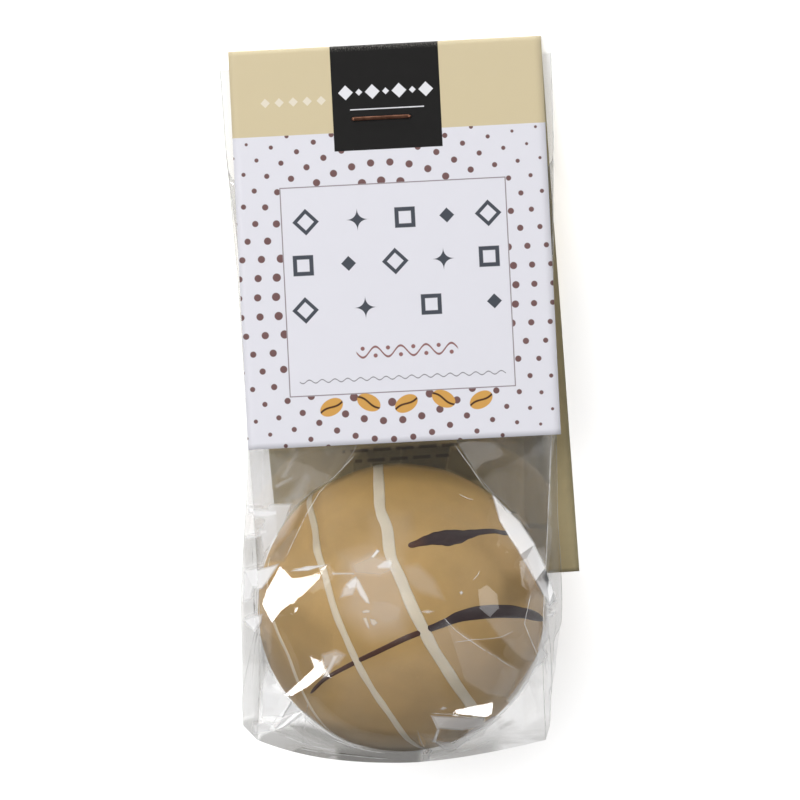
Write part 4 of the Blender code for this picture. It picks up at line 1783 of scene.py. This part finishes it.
def thin_cord(path, radius, places, faces):
    """A fine three-sided cord along a path, pointed at both ends."""
    last = len(path) - 1
    start = len(places)
    for k, p in enumerate(path):
        ahead = (path[min(k + 1, last)] - path[max(k - 1, 0)]).normalized()
        side = ahead.cross(Vector((0.31, 0.52, 0.79))).normalized()
        up = side.cross(ahead)
        r = radius * (0.3 if k in (0, last) else 1.0)
        for i in range(3):
            a = 2 * math.pi * i / 3
            places.append(p + (side * math.cos(a) + up * math.sin(a)) * r)
    faces += tube_faces(start, last, 3)


def build_crease_lines(bag, creases, tops, lows, material):
    """Whitened lines along the bag's folds, partly painted highlights of the folds."""
    places = []
    faces = []
    for right in (False, True):
        thin_cord([bend(p) for p in tops[right]], 0.1, places, faces)
        thin_cord([bend(p) for p in lows[right]], CREASE_R, places, faces)
        inner = [bend(bag.wall(right, WALL_SPAN, y, 0.0)) for y in bag.stations]
        thin_cord(inner, 0.08, places, faces)
    for crease in creases:
        if crease.closed or isinstance(crease.spots[0], Vector):
            continue
        path = []
        for i in range(len(crease.flat) - 1):
            a = crease.flat[i]
            b = crease.flat[i + 1]
            for k in range(4):
                t = k / 4
                p = a + (b - a) * t
                lift = crease.spots[i] + (crease.spots[i + 1] - crease.spots[i]) * t
                path.append(bend(bag.clear_of_ball(bag.front(p.x, p.y, lift + 0.05))))
        thin_cord(path, CREASE_R, places, faces)
    piece = add_piece("film_creases", places, faces, [material])
    piece.visible_shadow = False
    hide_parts("film_bag")
    return piece


# Stage

FLOOR_HALF = 3.0
FLOOR_DROP = 0.02

# Lights that the film doesn't mirror: direction, distance, width and height in millimetres
KEY_LIGHT = ((-0.2, 0.73, 0.7), 1100.0, 600.0, 500.0)

# The same, with the brightness in times white
ROOM_LIGHTS = {
    "over_box": ((0.1, -0.15, 1.0), 1100.0, 1000.0, 900.0, 0.2),
    "eye_box": ((-0.42, 0.55, 0.74), 1000.0, 520.0, 520.0, 2.6),
    "floor_box": ((0.0, 0.1, 1.0), 1100.0, 1400.0, 1400.0, 2.3),
}

# Brightness of the surroundings from the foot's side to the header's
SKY_RANGE = {"From Min": -0.9, "From Max": 0.5, "To Min": 0.05, "To Max": 0.3}


def floor_finish(stage):
    """Plain matt floor with the faintest unevenness."""
    finish = Finish("pale_floor")
    place = finish.place()
    cloud = finish.clouds(place, 60.0, 2.0)
    base = finish.mix(cloud, stage.floor_white, shaded(stage.floor_white, 0.985))
    return finish.surface(Base_Color=base, Roughness=0.9, Specular_IOR_Level=0.1)


def soft_box(name, toward, far, wide, tall, radiance, mirrored=True, lighting=True):
    """A rectangular soft light facing the sphere: seen as a highlight, lighting, or both."""
    light = bpy.data.lights.new(name, "AREA")
    light.shape = "RECTANGLE"
    light.size = wide * MM
    light.size_y = tall * MM
    light.energy = radiance * math.pi * (wide * MM) * (tall * MM)
    box = bpy.data.objects.new(name, light)
    box.location = to_frame(CENTRE + Vector(toward).normalized() * far)
    box.rotation_mode = "QUATERNION"
    box.rotation_quaternion = (-Vector(toward)).to_track_quat("-Z", "Y")
    box.visible_camera = False
    box.visible_glossy = mirrored
    box.visible_diffuse = lighting
    bpy.context.scene.collection.objects.link(box)


def build_world():
    """Pale surroundings, brightest on the header's side and darkest beyond the pack's foot."""
    world = bpy.data.worlds.new("pale_studio")
    world.use_nodes = True
    tree = world.node_tree
    tree.nodes.clear()
    coords = tree.nodes.new("ShaderNodeTexCoord")
    parts = tree.nodes.new("ShaderNodeSeparateXYZ")
    tree.links.new(coords.outputs["Generated"], parts.inputs[0])
    sky = tree.nodes.new("ShaderNodeBackground")
    out = tree.nodes.new("ShaderNodeOutputWorld")
    tree.links.new(sky.outputs[0], out.inputs["Surface"])
    share = tree.nodes.new("ShaderNodeMapRange")
    for key, value in SKY_RANGE.items():
        share.inputs[key].default_value = value
    tree.links.new(parts.outputs[1], share.inputs[0])
    tree.links.new(share.outputs[0], sky.inputs["Strength"])
    bpy.context.scene.world = world


def build_camera():
    """The photograph's view: down the normal of the sloping panel."""
    data = bpy.data.cameras.new("photo_camera")
    data.sensor_width = SENSOR
    data.lens = FOCAL_PX / PHOTO * SENSOR
    data.clip_end = 20.0
    camera = bpy.data.objects.new("photo_camera", data)
    turn = Matrix((ACROSS, UPWARD, OUTWARD)).transposed()
    camera.matrix_world = Matrix.Translation(to_frame(EYE)) @ turn.to_4x4()
    bpy.context.scene.collection.objects.link(camera)
    bpy.context.scene.camera = camera


class PACK_OT_stage(bpy.types.Operator):
    """Floor, soft light, surroundings and camera"""

    bl_idname = "pack.stage"
    bl_label = "Stage"

    def execute(self, context):
        stage = context.scene.pack_stage
        mesh = bpy.data.meshes.new("floor")
        bm = bmesh.new()
        bmesh.ops.create_grid(bm, x_segments=8, y_segments=8, size=FLOOR_HALF)
        bm.to_mesh(mesh)
        bm.free()
        mesh.materials.append(floor_finish(stage))
        floor = bpy.data.objects.new("floor", mesh)
        floor.location.z = -FLOOR_DROP * MM
        context.scene.collection.objects.link(floor)
        for name, (toward, wide, tall, radiance) in LIGHTS.items():
            radiance *= stage.side_light
            soft_box(name + "_box", toward, 900.0, wide, tall, radiance, lighting=False)
        soft_box("key_box", *KEY_LIGHT, stage.top_light, mirrored=False)
        for name, placed in ROOM_LIGHTS.items():
            soft_box(name, *placed, mirrored=False)
        under = bpy.data.collections.new("lit_floor")
        under.objects.link(floor)
        wash = context.scene.objects["floor_box"]
        wash.light_linking.receiver_collection = under
        wash.data.use_shadow = False
        build_world()
        build_camera()
        context.scene.view_settings.view_transform = "Standard"
        return {"FINISHED"}


class PACK_OT_chocolate(bpy.types.Operator):
    """The chocolate sphere inside the bag"""

    bl_idname = "pack.chocolate"
    bl_label = "Chocolate sphere"

    def execute(self, context):
        colours = context.scene.pack_colours
        material = chocolate_finish("caramel_chocolate", colours.caramel, 0.35, 0.42)
        build_ball(context.scene.pack_sizes, material)
        return {"FINISHED"}


class PACK_OT_drizzle(bpy.types.Operator):
    """White and dark drizzle lines over the sphere"""

    bl_idname = "pack.drizzle"
    bl_label = "Drizzle"

    def execute(self, context):
        sizes = context.scene.pack_sizes
        colours = context.scene.pack_colours
        pale = colours.white_chocolate
        thin = [0.85 * a + 0.15 * b for a, b in zip(pale, colours.caramel)]
        white = chocolate_finish("white_chocolate", pale, 0.2, 0.36, thin, -9.0, 6.0)
        tone = colours.dark_chocolate
        dark = chocolate_finish("dark_chocolate", tone, 0.3, 0.34, THIN_DARK, 4.5)
        build_drizzle("dark_drizzle", DARK_LINES, DARK_TAILS, sizes.dark_rise, 0.05, dark)
        build_drizzle("white_drizzle", WHITE_LINES, WHITE_TAILS, sizes.white_rise, 0.16, white)
        return {"FINISHED"}


class PACK_OT_card(bpy.types.Operator):
    """The folded and printed header card"""

    bl_idname = "pack.card"
    bl_label = "Header card"

    def execute(self, context):
        colours = context.scene.pack_colours
        build_card([print_finish(colours), inside_finish(), edge_finish()])
        return {"FINISHED"}


class PACK_OT_staple(bpy.types.Operator):
    """The copper-coloured staple through the header"""

    bl_idname = "pack.staple"
    bl_label = "Staple"

    def execute(self, context):
        build_staple(wire_finish(context.scene.pack_colours))
        return {"FINISHED"}


class PACK_OT_bag(bpy.types.Operator):
    """The clear gusseted bag"""

    bl_idname = "pack.bag"
    bl_label = "Clear bag"

    def execute(self, context):
        bag = Bag(context.scene.pack_sizes.film_ripple / MM)
        made = build_bag(bag, film_finish(context.scene.pack_colours, bag))
        build_crease_lines(bag, *made, crease_finish())
        return {"FINISHED"}


class PACK_PT_panel(bpy.types.Panel):
    """Lists the pieces of the pack"""

    bl_idname = "PACK_PT_panel"
    bl_label = "Chocolate sphere pack"
    bl_space_type = "VIEW_3D"
    bl_region_type = "UI"
    bl_category = "Pack"

    def draw(self, context):
        for operator in OPERATORS:
            self.layout.operator(operator.bl_idname)
        for key in GROUPS:
            group = getattr(context.scene, key)
            column = self.layout.column()
            for name in group.__annotations__:
                column.prop(group, name)


OPERATORS = (
    PACK_OT_chocolate,
    PACK_OT_drizzle,
    PACK_OT_card,
    PACK_OT_staple,
    PACK_OT_bag,
    PACK_OT_stage,
)
GROUPS = {"pack_sizes": PackSizes, "pack_colours": PackColours, "pack_stage": StageSettings}


def register():
    """Register the classes and put their settings on the scene."""
    for cls in (*GROUPS.values(), *OPERATORS, PACK_PT_panel):
        bpy.utils.register_class(cls)
    for name, cls in GROUPS.items():
        setattr(bpy.types.Scene, name, PointerProperty(type=cls))


def unregister():
    """Take the settings and the classes away again."""
    for name in GROUPS:
        delattr(bpy.types.Scene, name)
    for cls in reversed((*GROUPS.values(), *OPERATORS, PACK_PT_panel)):
        bpy.utils.unregister_class(cls)


def main():
    """Make every piece."""
    register()
    bpy.ops.pack.chocolate()
    bpy.ops.pack.drizzle()
    bpy.ops.pack.card()
    bpy.ops.pack.staple()
    bpy.ops.pack.bag()
    bpy.ops.pack.stage()
    bpy.context.view_layer.update()


if __name__ == "__main__":
    main()
